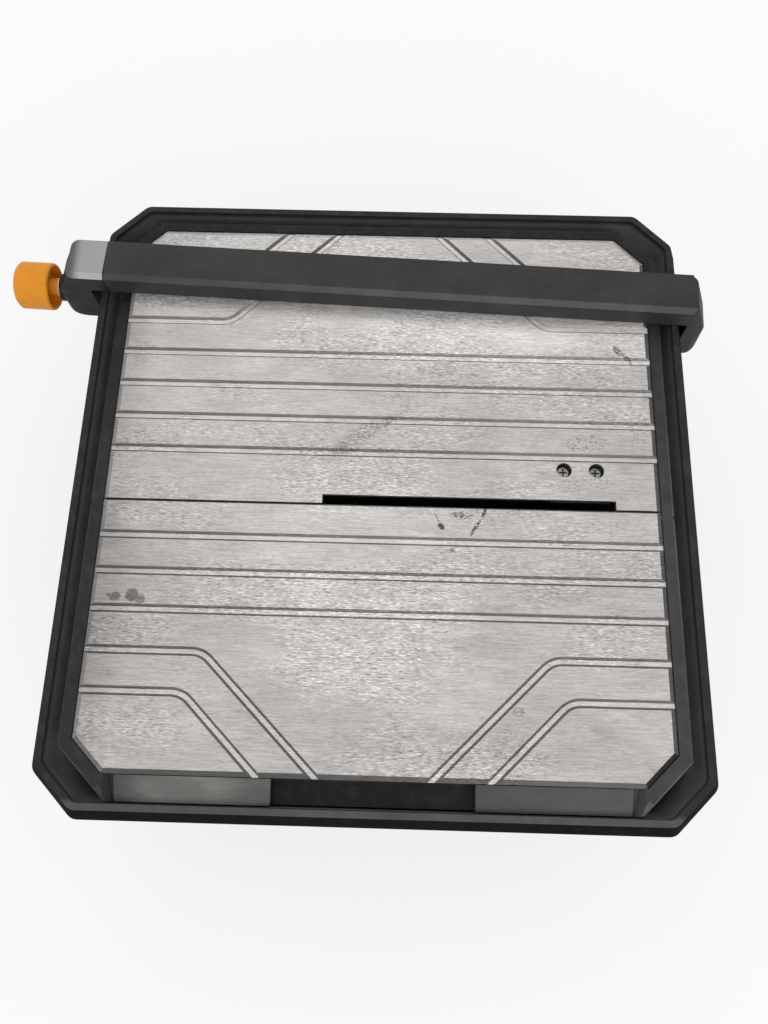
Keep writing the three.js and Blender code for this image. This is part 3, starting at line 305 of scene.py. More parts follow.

# Painted light on the table: paler before the fence's bar and along its foot to offset the bar's
# shadow, paler in the front plate's middle, darker at the left.
FENCE_SLOPE = math.tan(math.radians(2.42))
FENCE_ZONE = (0.075, 0.117, 0.135, 0.155)
FENCE_ZONE_GAIN = (-0.10, 0.165, 0.0, 0.45)
BAR_FOOT = (0.106, 0.128, 0.138, 0.150)
BAR_FOOT_GAIN = (-0.02, 0.12, 0.34, 0.18)
LIT_MIDDLE_X = 0.017
LIT_BAND = (-0.165, -0.12, -0.03, 0.006)
LIT_GAIN = (0.025, 0.10, 0.15, 0.0)
LEFT_SIDE_TONE = (-0.15, -0.06, 0.91, 1.0)

# Painted highlight on the groove floors, painted shade on steep walls, and bevels painted lighter
# or darker by the side that they face.
GROOVE_FLOOR_HIGHLIGHT = (TABLE_Z - 1.75 * MM, TABLE_Z - 1.6 * MM, 0.20, 0.0)
STEEP_WALL = (0.76, 0.86)
SLANTING_FACE = (0.95, 0.975)
WALL_SHADE = 0.58
BEVEL_TONE = 0.47
BEVEL_TONE_RIGHT = -0.70
BEVEL_TONE_FRONT = (-0.36, 0.0, -0.29, 0.0)
BEVEL_TONE_BACK = (0.0, 0.36, 0.0, 0.45)

# Painted shade in the screw wells.
WELL_DEPTH = (TABLE_Z - 1.0 * MM, TABLE_Z - 0.3 * MM)
WELL_RADIUS = 5.6 * MM
WELL_SHADE = (-0.8, -0.4, 0.35, 0.85)

MARK_EDGE = 0.14
MARKS = (
    # x, y in m, half length, half width in mm, slant, darkness, how broken up it is
    (-0.1470, -0.0832, 1.5, 1.2, 0, 0.58, 0.24),
    (-0.1427, -0.0840, 3.8, 3.0, 20, 0.62, 0.27),
    (-0.1318, -0.0828, 4.5, 4.2, 50, 0.68, 0.26),
    (-0.1265, -0.0850, 3.6, 3.0, -10, 0.58, 0.31),
    (0.0664, -0.0314, 2.6, 1.8, -50, 0.90, 0.26),
    (0.0642, -0.0265, 5.2, 0.8, -62, 0.55, 0.40),
    (0.0790, -0.0235, 7.5, 2.6, -4, 0.75, 0.44),
    (0.0950, -0.0205, 4.2, 1.1, 68, 0.90, 0.34),
    (0.0890, -0.0318, 6.5, 1.2, 58, 0.95, 0.38),
    (0.0730, -0.0475, 3.0, 1.4, 0, 0.55, 0.42),
    (0.0080, 0.0300, 22.0, 6.5, 38, 0.42, 0.43),
    (0.0260, 0.0410, 13.0, 3.5, 35, 0.46, 0.43),
    (0.1640, 0.0300, 15.0, 6.0, 5, 0.55, 0.50),
    (0.1600, 0.0000, 22.0, 5.5, 4, 0.36, 0.50),
    (0.1500, 0.0900, 15.0, 6.0, 0, 0.20, 0.50),
    (0.1890, 0.1010, 4.0, 2.2, -55, 0.75, 0.36),
    (0.1960, 0.0950, 5.5, 1.6, -50, 0.70, 0.40),
    (0.2010, 0.0400, 8.0, 12.0, 0, 0.40, 0.50),
    (0.1730, -0.0280, 12.0, 5.0, 0, 0.30, 0.50),
    (-0.1500, -0.0850, 22.0, 60.0, 0, 0.12, 0.10),
    (0.1100, -0.1660, 14.0, 9.0, 30, 0.20, 0.42),
    (0.1150, -0.1500, 4.0, 3.0, 0, 0.42, 0.42),
    (0.1950, -0.0600, 13.0, 10.0, 0, 0.24, 0.50),
    (-0.1430, 0.0900, 9.0, 12.0, 0, 0.22, 0.50),
)

WARM_SHARE = (0.45, 0.75, 0.0, 0.35)
TABLE_METALLIC = 0.8
TABLE_ROUGHNESS = (0.44, 0.56)
DIRT_ROUGHNESS = 0.25
STREAK_HEIGHT = 0.7
FLECK_HEIGHT = 0.6
TABLE_RELIEF = 0.06 * MM
TABLE_BUMP = 0.7


def milled_tone(g, streak, fleck, cloud):
    """Brushed lines, clouds left by water, and broken flecks where the table is worked most."""
    worked = g.span(g.pattern("table_worked"), *WORKED_SHARE)
    dash = g.pattern("table_dash")
    dashes = g.plus(g.span(dash, *DARK_DASH), g.span(dash, *LIGHT_DASH))
    return g.times(
        g.span(streak, *STREAK_TONE),
        g.vary(cloud, *CLOUD_TONE),
        g.span(g.pattern("table_drift"), *DRIFT_TONE),
        g.raised(g.times(g.span(fleck, *LIGHT_FLECK), worked)),
        g.lowered(g.times(g.span(fleck, *DARK_FLECK), worked)),
        g.raised(g.times(dashes, worked)),
        g.span(g.pattern("table_stain"), *STAIN_TONE),
        g.span(g.axes[0], *LEFT_EDGE_TONE),
    )


def painted_light_tone(g):
    """Painted light: paler before the fence's bar, offsetting the shadow that the bar casts
    there, paler in the front plate's middle, and darker at the left.
    """
    x, y = g.axes[0], g.axes[1]
    # A zone before the bar and a band along its foot are painted paler, to offset the bar's
    # shadow.
    zone = g.times(g.band(y, *FENCE_ZONE), g.span(x, *FENCE_ZONE_GAIN))
    from_bar = g.plus(y, g.times(x, FENCE_SLOPE))
    foot = g.times(g.band(from_bar, *BAR_FOOT), g.span(x, *BAR_FOOT_GAIN))
    # The front plate's middle is painted paler, a painted pool of light, and the left side is
    # painted darker.
    from_middle = g.math("ABSOLUTE", g.math("SUBTRACT", x, LIT_MIDDLE_X))
    worn = g.times(g.band(y, *LIT_BAND), g.span(from_middle, *LIT_GAIN))
    return g.times(g.raised(zone), g.raised(foot), g.raised(worn), g.span(x, *LEFT_SIDE_TONE))


def groove_light_and_shade(g, direction):
    """Painted light: a painted highlight on the groove floors, painted shade on the steep walls,
    and bevels painted lighter or darker by the side that they face.
    """
    floor = g.span(g.axes[2], *GROOVE_FLOOR_HIGHLIGHT)
    walls = g.fall(direction[2], *STEEP_WALL)
    bevel = g.times(g.fall(direction[2], *SLANTING_FACE), g.lowered(walls))
    tone = g.plus(
        BEVEL_TONE,
        g.times(direction[0], BEVEL_TONE_RIGHT),
        g.span(direction[1], *BEVEL_TONE_FRONT),
        g.span(direction[1], *BEVEL_TONE_BACK),
    )
    return g.times(
        g.raised(floor),
        g.lowered(g.times(bevel, g.lowered(tone))),
        g.lowered(g.times(walls, WALL_SHADE)),
    )


def table_dirt(g):
    """Stains and scratches: ovals broken up by a fine grain."""
    pit = g.pattern("table_pit")
    dirt = 0.0
    for x, y, long, wide, slant, dark, broken in MARKS:
        spot = g.spot(x, y, long * MM, wide * MM, slant)
        dirt = g.most(dirt, g.times(spot, g.span(pit, broken, broken + MARK_EDGE), dark))
    return dirt


def machined_table():
    """Milled aluminium, brushed sideways, clouded by water and marked by use, with painted light
    and shade on the grooves, bevels and screw wells and round the fence's bar.
    """
    g = Graph("machined_table")
    streak = g.pattern("table_streak")
    fleck = g.pattern("table_fleck")
    cloud = g.pattern("table_cloud")
    direction = g.normal()
    level = g.times(milled_tone(g, streak, fleck, cloud), painted_light_tone(g), groove_light_and_shade(g, direction))
    dirt = table_dirt(g)
    # Painted shade in the screw wells, lightest on the walls that face left; it darkens towards
    # the same tint as the dirt.
    in_well = g.times(g.wells(WELL_RADIUS), g.fall(g.axes[2], *WELL_DEPTH))
    shaded = g.times(in_well, g.span(direction[0], *WELL_SHADE))

    bright = g.scaled(ALUMINIUM, level)
    warm = g.mix(g.span(cloud, *WARM_SHARE), bright, g.stained(bright, WARM_TINT))
    g.set("Base Color", g.mix(g.most(dirt, shaded), warm, g.stained(warm, GRIME_AND_SHADE_TINT)))
    g.set("Metallic", TABLE_METALLIC)
    g.set("Roughness", g.plus(g.vary(streak, *TABLE_ROUGHNESS), g.times(dirt, DIRT_ROUGHNESS)))
    height = g.plus(g.times(streak, STREAK_HEIGHT), g.times(fleck, FLECK_HEIGHT))
    g.bump(height, TABLE_RELIEF, TABLE_BUMP)
    return g.material


# Moulded plastic and rubber

PLASTIC_BLOTCH_TONE = (0.88, 1.12)
PLASTIC_GRAIN_TONE = (0.93, 1.07)
SCUFF_SHARE = (0.64, 0.74)
SCUFF_STRENGTH = 6
SCUFF_PATCH = (0.5, 0.7)
SCUFF_GAIN = 1.2
SCUFF_PALE = 0.10
FACES_UP = (0.5, 0.95)
DUST_PATCH = (0.42, 0.7)
PLASTIC_POLISHED = 0.06
PLASTIC_DULLED = 0.08
PLASTIC_BUMP = 0.6


def moulded(name, colour, roughness=0.5, grain=0.5, relief=0.05, dust=0.08, worn=0.05, sheen=0.3,
            shade=None, matt=None):
    """Moulded plastic with a fine grain, soft blotches, thin pale scuffs and settled dust.
    shade and matt, if given, make a factor on the colour and an addition to the roughness."""
    g = Graph(name)
    fine = g.noise((grain,) * 3)
    blotch = g.pattern("plastic_blotch")
    scuff = g.pattern("plastic_scuff")
    patch = g.pattern("plastic_patch")
    level = g.times(g.vary(blotch, *PLASTIC_BLOTCH_TONE), g.vary(fine, *PLASTIC_GRAIN_TONE))
    if shade:
        level = g.times(level, shade(g))
    body = g.scaled(colour, level)
    pale = tuple(min(1.0, c * SCUFF_GAIN + SCUFF_PALE) for c in colour)
    wear = g.math("MULTIPLY", g.span(scuff, *SCUFF_SHARE), worn * SCUFF_STRENGTH, clamp=True)
    wear = g.times(wear, g.span(patch, *SCUFF_PATCH))
    up = g.span(g.normal()[2], *FACES_UP)
    settled = g.times(up, g.span(patch, *DUST_PATCH), dust)
    g.set("Base Color", g.mix(settled, g.mix(wear, body, pale), DUST))
    rough = g.vary(patch, roughness - PLASTIC_POLISHED, roughness + PLASTIC_DULLED)
    g.set("Roughness", g.math("ADD", rough, matt(g), clamp=True) if matt else rough)
    g.set("Specular IOR Level", sheen)
    g.bump(fine, relief * MM, PLASTIC_BUMP)
    return g.material


GUTTER_INSIDE = (-0.06, -0.02)
GUTTER_FLOOR = (0.6, 0.9)
BELOW_RIM = (TABLE_Z - 8 * MM, TABLE_Z - 3 * MM)
# Painted fill light with silt: raises the colour deep in the gutter and tub.
SILT_AND_FILL_LIGHT_GAIN = (TABLE_Z - 40 * MM, TABLE_Z - 8 * MM, 16.0, 3.6)
RUBBED_AND_LIT_RIM_GAIN = (RIM_FRONT, RIM_FRONT + 4 * MM, 2.1, 0.0)
RIM_TOP = (0.75, 0.95)
FACES_OUT = (0.08, 0.16)
STEEP_SIDE = (0.55, 0.75)
LIP = (TABLE_Z - 19 * MM, TABLE_Z - 16 * MM)
LIP_SHADE = (0.0, 1.0, 1.0, 0.12)
DRIP_TONE = (0.35, 0.68, 1.2, 1.65)
SIDE_IS_MATT = (0.5, 0.7)
SIDE_ROUGHNESS = 0.45


def tray_shade(g):
    """Silt with painted fill light in the gutter and tub, a front rim paler from rubbing and a
    painted highlight, painted shade on the lip, and dried drips below it.
    """
    n = g.normal()
    outward = g.outward(n)
    inside = g.most(g.fall(outward, *GUTTER_INSIDE), g.span(n[2], *GUTTER_FLOOR))
    # Inside the gutter and tub the colour is raised many times over: partly silt and partly
    # painted fill light where shade falls.
    low = g.fall(g.axes[2], *BELOW_RIM)
    silt_and_fill_light = g.times(inside, low, g.span(g.axes[2], *SILT_AND_FILL_LIGHT_GAIN))
    # The front rim's top is painted paler: partly rubbed plastic and partly a painted highlight.
    rubbed = g.times(
        g.span(g.axes[1], *RUBBED_AND_LIT_RIM_GAIN), g.span(n[2], *RIM_TOP), g.lowered(low)
    )
    side = g.times(g.span(outward, *FACES_OUT), g.fall(n[2], *STEEP_SIDE))
    # The lip's outer face is painted near black: painted shade, with the drips below it.
    lip = g.span(g.axes[2], *LIP)
    tone = g.times(g.span(g.pattern("tub_drips"), *DRIP_TONE), g.span(lip, *LIP_SHADE))
    outer = g.times(side, g.math("SUBTRACT", tone, 1.0))
    return g.times(g.plus(1.0, silt_and_fill_light, rubbed), g.raised(outer))


def tray_matt(g):
    """The steep faces are duller than the rim's top."""
    return g.times(g.fall(g.normal()[2], *SIDE_IS_MATT), SIDE_ROUGHNESS)


# Painted light on the deck: silt and fill light on the skirt, paler to the front and right, shade
# in the recess.
SKIRT_OUT = (0.04, 0.12)
SKIRT_STEEP = (0.3, 0.9)
SKIRT_SILT_AND_FILL_LIGHT = 6.0
DECK_LIGHT_ALONG = (-0.05, 0.20, 1.0, 0.28)
DECK_LIGHT_ACROSS = (-0.16, 0.21, 0.95, 1.9)
DECK_CORNER_FRONT = (-0.16, -0.05, 1.05, 1.0)
DECK_CORNER_RIGHT = (0.17, 0.2)
RECESS_EDGE = (RECESS_BACK - 3 * MM, RECESS_BACK)
RECESS_SHADE = 0.62


def deck_shade(g):
    """Painted light: darker to the back and paler to the front and right, palest at the front
    right corner; silt and painted fill light on the skirt; painted shade in the recess.
    """
    n = g.normal()
    x, y = g.axes[0], g.axes[1]
    skirt = g.times(g.span(g.outward(n), *SKIRT_OUT), g.fall(n[2], *SKIRT_STEEP))
    corner = g.times(g.span(y, *DECK_CORNER_FRONT), g.span(x, *DECK_CORNER_RIGHT))
    # The recess is painted darker: painted shade.
    in_recess = g.times(
        g.fall(y, *RECESS_EDGE), g.math("COMPARE", x, TABLE_X, RECESS_HALF)
    )
    return g.times(
        g.raised(g.times(skirt, SKIRT_SILT_AND_FILL_LIGHT)),
        g.lowered(g.times(in_recess, RECESS_SHADE)),
        g.span(y, *DECK_LIGHT_ALONG),
        g.span(x, *DECK_LIGHT_ACROSS),
        g.most(1.0, corner),
    )


# Painted highlight and painted shade on the fence.
SLANT_UP = (0.5, 0.65, 0.78, 0.92)
SLANT_FRONT = (-0.65, -0.4)
SLANT_HIGHLIGHT_GAIN = (-0.18, 0.06, 0.6, 1.15)
END_SHADE = (0.35, 0.75, 1.0, 0.4)
UPRIGHT_SHADE = (0.15, 0.5, 0.9, 1.0)
LEG_SHADE = (LEG_RIGHT - 1 * MM, LEG_RIGHT + 1 * MM, 0.5, 1.0)


def fence_shade(g):
    """A painted highlight on the slanting front edge, most at the right, and painted shade on the
    ends, the upright faces and the left leg.
    """
    n = g.normal()
    # slant is a painted highlight on the front edge, not rubbing.
    slant = g.times(
        g.band(n[2], *SLANT_UP), g.fall(n[1], *SLANT_FRONT), g.span(g.axes[0], *SLANT_HIGHLIGHT_GAIN)
    )
    return g.times(
        g.raised(slant),
        g.span(g.math("ABSOLUTE", n[0]), *END_SHADE),
        g.span(n[2], *UPRIGHT_SHADE),
        g.span(g.axes[0], *LEG_SHADE),
    )


KNOB_BLOTCH_TONE = (0.95, 1.04)
KNOB_FINE_TONE = (0.97, 1.03)
KNOB_SPECKS = (0.62, 0.74)
KNOB_SPECK_SHARE = 0.16
KNOB_ROUGHNESS = (0.42, 0.56)
KNOB_SHEEN = 0.25
KNOB_RELIEF = 0.03 * MM
KNOB_BUMP = 0.5


def knob_plastic():
    """Amber moulded plastic with fine specks of grime rubbed into it."""
    g = Graph("knob_amber")
    fine = g.pattern("knob_fine")
    blotch = g.pattern("knob_blotch")
    level = g.times(g.vary(blotch, *KNOB_BLOTCH_TONE), g.vary(fine, *KNOB_FINE_TONE))
    grime = g.times(g.span(g.pattern("knob_speck"), *KNOB_SPECKS), KNOB_SPECK_SHARE)
    g.set("Base Color", g.mix(grime, g.scaled(KNOB, level), KNOB_GRIME))
    g.set("Roughness", g.vary(blotch, *KNOB_ROUGHNESS))
    g.set("Specular IOR Level", KNOB_SHEEN)
    g.bump(fine, KNOB_RELIEF, KNOB_BUMP)
    return g.material


# Metal

BRUSH_TONE = (0.90, 1.08)
TARNISHED = (0.45, 0.75)
METAL_POLISHED = 0.05
METAL_DULLED = 0.10
METAL_BUMP = 0.5


def metal(name, colour, roughness=0.32, brush=(0.8, 12.0, 0.8), stain=0.12, relief=0.02,
          shade=None):
    """Bare or plated metal with fine drawn lines and a little tarnish."""
    g = Graph(name)
    lines = g.noise(brush, 2.0, 0.6)
    tarnish = g.pattern("metal_tarnish")
    level = g.times(g.vary(lines, *BRUSH_TONE), g.span(tarnish, *TARNISHED, 1.0, 1.0 - stain))
    if shade:
        level = g.times(level, shade(g))
    g.set("Base Color", g.scaled(colour, level))
    g.set("Metallic", 1.0)
    g.set("Roughness", g.vary(tarnish, roughness - METAL_POLISHED, roughness + METAL_DULLED))
    g.bump(lines, relief * MM, METAL_BUMP)
    return g.material


CROSS_SHADE = (SCREW_TOP - 0.6 * MM, SCREW_TOP - 0.2 * MM, 0.10, 1.0)
UNSHADED_HEAD_RADIUS = 3.7 * MM
UNSHADED_HEAD_SOFT = 0.14
HEAD_EDGE_SHADE = (0.0, 1.0, 0.10, 1.0)


def screw_shade(g):
    """Painted shade in the cross recess and in a dark ring round the head."""
    unshaded_head = g.wells(UNSHADED_HEAD_RADIUS, UNSHADED_HEAD_SOFT)
    return g.times(g.span(g.axes[2], *CROSS_SHADE), g.span(unshaded_head, *HEAD_EDGE_SHADE))


GAP_END = 0.6
MOTTLE_TONE = (0.88, 1.1)
BAND_METALLIC = 0.9
BAND_POLISHED = 0.05
BAND_DULLED = 0.1
BAND_RELIEF = 0.15 * MM
BAND_BUMP = 0.7


def banded(name, colour, step, depth=0.35, roughness=0.4):
    """Metal in thin bands, stacked from front to back: pressed sheets or wound wire."""
    g = Graph(name)
    turns = g.times(g.axes[1], 2 * math.pi / step)
    band = g.plus(g.times(g.math("SINE", turns), 0.5), 0.5)
    mottle = g.pattern("band_mottle")
    level = g.times(g.span(band, 0.0, GAP_END, 1.0 - depth, 1.0), g.vary(mottle, *MOTTLE_TONE))
    g.set("Base Color", g.scaled(colour, level))
    g.set("Metallic", BAND_METALLIC)
    g.set("Roughness", g.vary(mottle, roughness - BAND_POLISHED, roughness + BAND_DULLED))
    g.bump(band, BAND_RELIEF, BAND_BUMP)
    return g.material


# Paint

PAINT_RUBBED = (0.3, 0.72)
PAINT_SPECK_TONE = (0.96, 1.04)
PAINT_POLISHED = 0.04
PAINT_DULLED = 0.14
PAINT_RELIEF = 0.03 * MM
PAINT_BUMP = 0.5


def enamel(name, colour, roughness=0.35, peel=1.8, rub=0.12, sheen=0.4, shade=None):
    """Sprayed paint with a faint orange peel and dull rubbed patches."""
    g = Graph(name)
    skin = g.noise((peel,) * 3)
    rubbed = g.pattern("paint_rub")
    level = g.times(
        g.span(rubbed, *PAINT_RUBBED, 1.0 - rub, 1.0 + rub),
        g.vary(g.pattern("paint_speck"), *PAINT_SPECK_TONE),
    )
    if shade:
        level = g.times(level, shade(g))
    g.set("Base Color", g.scaled(colour, level))
    g.set("Roughness", g.vary(rubbed, roughness - PAINT_POLISHED, roughness + PAINT_DULLED))
    g.set("Specular IOR Level", sheen)
    g.bump(skin, PAINT_RELIEF, PAINT_BUMP)
    return g.material


# Painted light on the two front ledges.
APRON_MIDDLE = (0.02, 0.03)
LEFT_APRON_TONES = ((-0.13, -0.10, 0.50, 1.45), (-0.075, -0.04, 1.0, 0.60))
LEFT_APRON_CLOUD = (0.35, 0.65, 0.84, 1.18)
RIGHT_APRON_TONE = (0.088, 0.17, 0.50, 0.60)
RIGHT_APRON_CLOUD = (0.35, 0.65, 0.92, 1.08)


def apron_shade(g):
    """Painted light: the left ledge is painted palest in its middle and the right one darker and
    even, standing in for how each catches the light; soft clouds over both.
    """
    x = g.axes[0]
    cloud = g.pattern("apron_cloud")
    on_right = g.span(x, *APRON_MIDDLE)
    left = g.times(*(g.span(x, *tone) for tone in LEFT_APRON_TONES),
                   g.span(cloud, *LEFT_APRON_CLOUD))
    right = g.times(g.span(x, *RIGHT_APRON_TONE), g.span(cloud, *RIGHT_APRON_CLOUD))
    return g.plus(g.times(left, g.lowered(on_right)), g.times(right, on_right))


CAP_EDGE_HIGHLIGHT = (0.85, 0.97, 1.3, 1.0)
CAP_END_SHADE = (CAP_LEFT + 2 * MM, CAP_LEFT + 10 * MM, 0.26, 1.0)


def cap_shade(g):
    """A painted highlight on the slanting edges, and painted shade over the rounded outer end."""
    return g.times(g.span(g.normal()[2], *CAP_EDGE_HIGHLIGHT), g.span(g.axes[0], *CAP_END_SHADE))


# One finish for each CAD solid

SHEET_STEP = 1.0 * MM
WIRE_STEP = 0.9 * MM


def dress_nodes():
    table = machined_table()
    tray = moulded("tray_black", TRAY, 0.48, grain=0.55, relief=0.06, dust=0.05, worn=0.08,
                   sheen=0.08, shade=tray_shade, matt=tray_matt)
    deck = moulded("deck_grey", DECK, 0.42, grain=0.7, relief=0.03, dust=0.04, worn=0.05,
                   sheen=0.12, shade=deck_shade)
    fence = moulded("fence_grey", FENCE, 0.50, grain=0.5, relief=0.05, dust=0.02, worn=0.04,
                    sheen=0.12, shade=fence_shade)
    fitting = moulded("fitting_black", TRAY, 0.38, grain=0.6, relief=0.03)
    rubber = moulded("black_rubber", RUBBER, 0.72, grain=1.2, relief=0.08, dust=0.10, worn=0.02)
    red = moulded("rocker_red", ROCKER, 0.28, grain=0.8, relief=0.01, dust=0.02, worn=0.02)
    apron = enamel("apron_grey", APRON, 0.36, rub=0.05, sheen=0.3, shade=apron_shade)
    cap = enamel("cap_grey", CAP, 0.38, peel=1.2, rub=0.04, sheen=0.3, shade=cap_shade)
    can_black = enamel("motor_black", TRAY, 0.36)
    can_grey = enamel("capacitor_grey", CAN, 0.30)
    steel = metal("plated_steel", STEEL, 0.28)
    turned_steel = metal("turned_steel", STEEL, 0.24, brush=(6.0, 0.35, 6.0))
    dull = metal("screw_steel", DULL_STEEL, 0.36, brush=(1.2, 1.2, 1.2), stain=0.35,
                 shade=screw_shade)
    sooty = metal("bracket_steel", SOOTY_STEEL, 0.45, brush=(1.2, 1.2, 1.2), stain=0.35)
    cast = metal("cast_aluminium", CAST, 0.48, brush=(1.6, 1.6, 1.6), stain=0.2, relief=0.12)
    brass = metal("turned_brass", BRASS, 0.28, brush=(0.4, 5.0, 5.0))
    sheets = banded("stacked_sheets", SHEET_STEEL, SHEET_STEP)
    copper = banded("wound_copper", COPPER, WIRE_STEP, depth=0.5, roughness=0.3)
    amber = knob_plastic()

    finishes = {
        table: ("rear_table_plate", "front_table_plate"),
        tray: ("base_tub",),
        deck: ("deck_frame",),
        fence: ("fence_bar", "clamp_leg"),
        fitting: ("switch_box", "cooling_fan"),
        rubber: (
            "cord_gland", "drain_plug", "drain_seal", "shaft_seal", "bay_gasket", "clamp_pad",
            "foot_front_left", "foot_rear_left", "foot_front_right", "foot_rear_right",
        ),
        red: ("switch_rocker",),
        apron: ("front_apron_left", "front_apron_right"),
        cap: ("clamp_cap",),
        can_black: ("motor_can",),
        can_grey: ("capacitor",),
        steel: (
            "bevel_stay", "hinge_pin_left", "hinge_pin_right", "capacitor_strap",
            "base_screw_front_left", "base_screw_rear_left", "base_screw_front_right",
            "base_screw_rear_right", "joint_screw", "clamp_washer",
        ),
        sooty: ("knife_bracket",),
        dull: ("bracket_screw_left", "bracket_screw_right"),
        turned_steel: (
            "arbor_shaft", "inner_flange", "outer_flange", "arbor_nut", "front_bearing",
            "rear_bearing", "clamp_spindle",
        ),
        cast: ("motor_bracket", "motor_rear_bell"),
        brass: ("clamp_nut",),
        sheets: ("stator", "rotor_core"),
        copper: ("winding_front", "winding_rear"),
        amber: ("clamp_knob",),
    }
    for material, names in finishes.items():
        for name in names:
            slots = nodes[name].data.materials
            slots.clear()
            slots.append(material)
    dressed = {name for names in finishes.values() for name in names}
    if dressed != set(nodes):
        raise ValueError(f"nodes with no finish: {sorted(set(nodes) ^ dressed)}")


# Softened edges on the CAD solids

EDGE_ROUND = {
    # node: width of the rounding in mm
    "base_tub": 0.7, "deck_frame": 0.5, "front_apron_left": 0.3, "front_apron_right": 0.3,
    "fence_bar": 1.0, "clamp_leg": 1.0, "clamp_cap": 0.5, "clamp_knob": 0.5, "switch_box": 0.6,
    "switch_rocker": 0.5, "motor_bracket": 0.6, "motor_rear_bell": 0.4, "knife_bracket": 0.3,
    "arbor_nut": 0.3, "drain_plug": 0.4, "cord_gland": 0.4,
}
CRISP_NODES = ("rear_table_plate", "front_table_plate")
ROUND_NODES = ("fence_bar", "clamp_leg", "clamp_cap")
SMOOTH_BELOW = math.radians(32)
ROUND_BELOW = math.radians(40)
CRISP_BELOW = math.radians(10)
WELD_REACH = 0.002 * MM
ROUND_SEGMENTS = 2
FLAT_FACE_WEIGHT = 90


def smoothing_group(name, limit):
    """Drops a solid's stored shading and shades it smooth, apart from edges past the limit."""
    tree = bpy.data.node_groups.new(name, "GeometryNodeTree")
    tree.interface.new_socket("Geometry", in_out="INPUT", socket_type="NodeSocketGeometry")
    tree.interface.new_socket("Geometry", in_out="OUTPUT", socket_type="NodeSocketGeometry")
    enter = tree.nodes.new("NodeGroupInput")
    leave = tree.nodes.new("NodeGroupOutput")
    bare = tree.nodes.new("GeometryNodeSetMeshNormal")
    bare.mode = "SHARPNESS"
    bare.inputs["Remove Custom"].default_value = True
    bare.inputs["Face Sharpness"].default_value = False
    angle = tree.nodes.new("GeometryNodeInputMeshEdgeAngle")
    sharp = tree.nodes.new("FunctionNodeCompare")
    sharp.data_type = "FLOAT"
    sharp.operation = "GREATER_THAN"
    sharp.inputs["B"].default_value = limit
    tree.links.new(angle.outputs["Unsigned Angle"], sharp.inputs["A"])
    tree.links.new(sharp.outputs[0], bare.inputs["Edge Sharpness"])
    tree.links.new(enter.outputs[0], bare.inputs["Mesh"])
    tree.links.new(bare.outputs[0], leave.inputs[0])
    return tree


def soften():
    smooth = smoothing_group("shade_smooth", SMOOTH_BELOW)
    crisp = smoothing_group("shade_crisp", CRISP_BELOW)
    soft = smoothing_group("shade_soft", ROUND_BELOW)
    for name, node in nodes.items():
        weld = node.modifiers.new("weld", "WELD")
        weld.merge_threshold = WELD_REACH
        shade = node.modifiers.new("shade", "NODES")
        shade.node_group = (
            crisp if name in CRISP_NODES else soft if name in ROUND_NODES else smooth
        )
        if name in EDGE_ROUND:
            bevel = node.modifiers.new("edges", "BEVEL")
            bevel.width = EDGE_ROUND[name] * MM
            bevel.segments = ROUND_SEGMENTS
            bevel.limit_method = "ANGLE"
            bevel.angle_limit = ROUND_BELOW if name in ROUND_NODES else SMOOTH_BELOW
            bevel.use_clamp_overlap = True
            bevel.miter_outer = "MITER_ARC"
            weight = node.modifiers.new("weight", "WEIGHTED_NORMAL")
            weight.keep_sharp = True
            weight.weight = FLAT_FACE_WEIGHT


# Studio

FLOOR_SIZE = 12.0
FLOOR_GREY = (0.94, 0.94, 0.94, 1.0)
FLOOR_ROUGHNESS = 0.9
FLOOR_WHITENESS = (0.45, 1.3, 0.7, 1.0)
WHITE = (1, 1, 1, 1)
WORLD_LEVEL = 0.79
LAMPS = (
    # name, place, width, power; all aimed at the table
    ("front_panel", (0.5, -1.5, 1.5), 1.0, 8.0),
    ("back_panel", (-0.4, 1.3, 1.7), 1.0, 3.0),
)


def seen_ray(tree):
    """1 for what the camera sees, straight or in metal and glass."""
    path = tree.nodes.new("ShaderNodeLightPath")
    seen = path.outputs["Is Camera Ray"]
    for name in ("Is Glossy Ray", "Is Transmission Ray"):
        either = tree.nodes.new("ShaderNodeMath")
        either.operation = "MAXIMUM"
        tree.links.new(seen, either.inputs[0])
        tree.links.new(path.outputs[name], either.inputs[1])
        seen = either.outputs[0]
    return seen


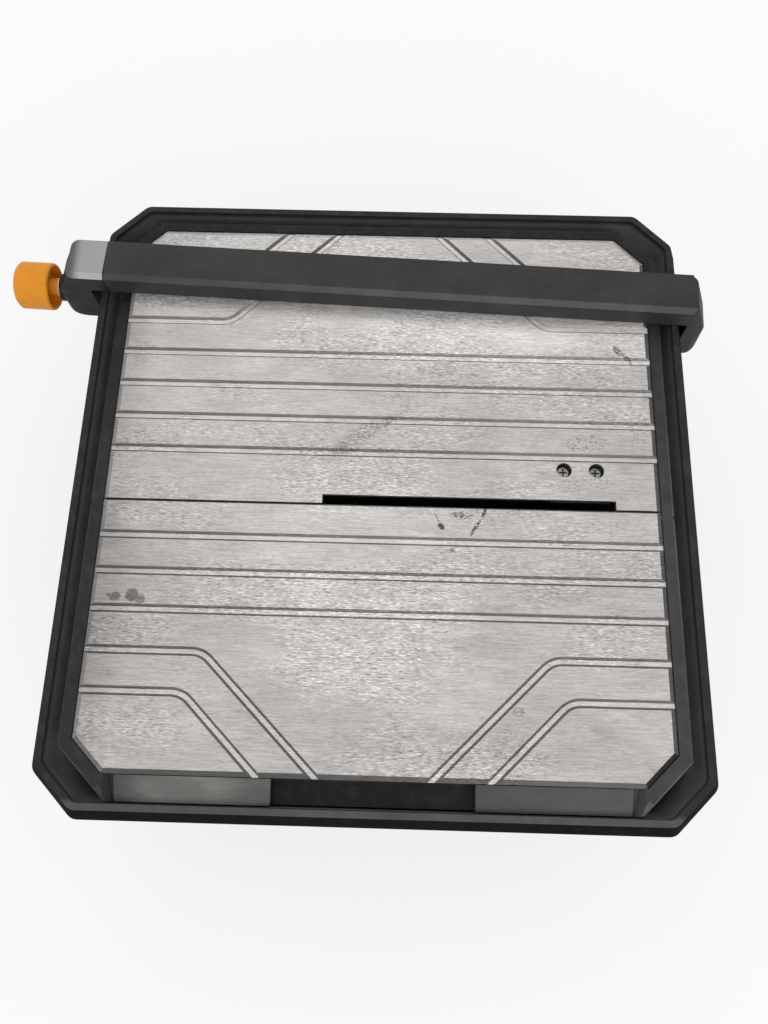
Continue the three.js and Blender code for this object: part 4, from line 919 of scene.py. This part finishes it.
def add_floor():
    """A pale floor that keeps the saw's shadow and turns white with distance from the saw."""
    mesh = bpy.data.meshes.new("floor")
    half = FLOOR_SIZE / 2
    corners = [(-half, -half, 0), (half, -half, 0), (half, half, 0), (-half, half, 0)]
    mesh.from_pydata(corners, [], [(0, 1, 2, 3)])
    floor = bpy.data.objects.new("floor", mesh)
    bpy.context.scene.collection.objects.link(floor)
    g = Graph("pale_floor")
    g.set("Base Color", FLOOR_GREY)
    g.set("Roughness", FLOOR_ROUGHNESS)
    g.set("Specular IOR Level", 0.0)
    white = g.node("ShaderNodeEmission")
    white.inputs["Strength"].default_value = 1.0
    blend = g.node("ShaderNodeMixShader")
    away = g.math("SQRT", g.plus(*(g.times(g.axes[k], g.axes[k]) for k in (0, 1))))
    g.link(g.times(seen_ray(g.tree), g.span(away, *FLOOR_WHITENESS)), blend.inputs[0])
    g.link(g.shader.outputs[0], blend.inputs[1])
    g.link(white.outputs[0], blend.inputs[2])
    g.link(blend.outputs[0], g.out.inputs["Surface"])
    mesh.materials.append(g.material)


def add_world():
    """Even light from all sides, seen as plain white."""
    world = bpy.data.worlds.new("studio")
    bpy.context.scene.world = world
    world.use_nodes = True
    tree = world.node_tree
    tree.nodes.clear()
    out = tree.nodes.new("ShaderNodeOutputWorld")
    seen = tree.nodes.new("ShaderNodeBackground")
    seen.inputs["Color"].default_value = WHITE
    seen.inputs["Strength"].default_value = 1.0
    lit = tree.nodes.new("ShaderNodeBackground")
    lit.inputs["Color"].default_value = WHITE
    lit.inputs["Strength"].default_value = WORLD_LEVEL
    pick = tree.nodes.new("ShaderNodeMixShader")
    tree.links.new(seen_ray(tree), pick.inputs[0])
    tree.links.new(lit.outputs[0], pick.inputs[1])
    tree.links.new(seen.outputs[0], pick.inputs[2])
    tree.links.new(pick.outputs[0], out.inputs[0])


def add_lamps():
    target = Vector((TABLE_X, TABLE_Y, TABLE_Z))
    for name, place, size, power in LAMPS:
        data = bpy.data.lights.new(name, "AREA")
        data.shape = "DISK"
        data.size = size
        data.energy = power
        lamp = bpy.data.objects.new(name, data)
        lamp.location = place
        lamp.rotation_euler = (target - Vector(place)).to_track_quat("-Z", "Y").to_euler()
        bpy.context.scene.collection.objects.link(lamp)


add_camera()
dress_nodes()
soften()
add_floor()
add_world()
add_lamps()
bpy.context.scene.view_settings.view_transform = "Standard"
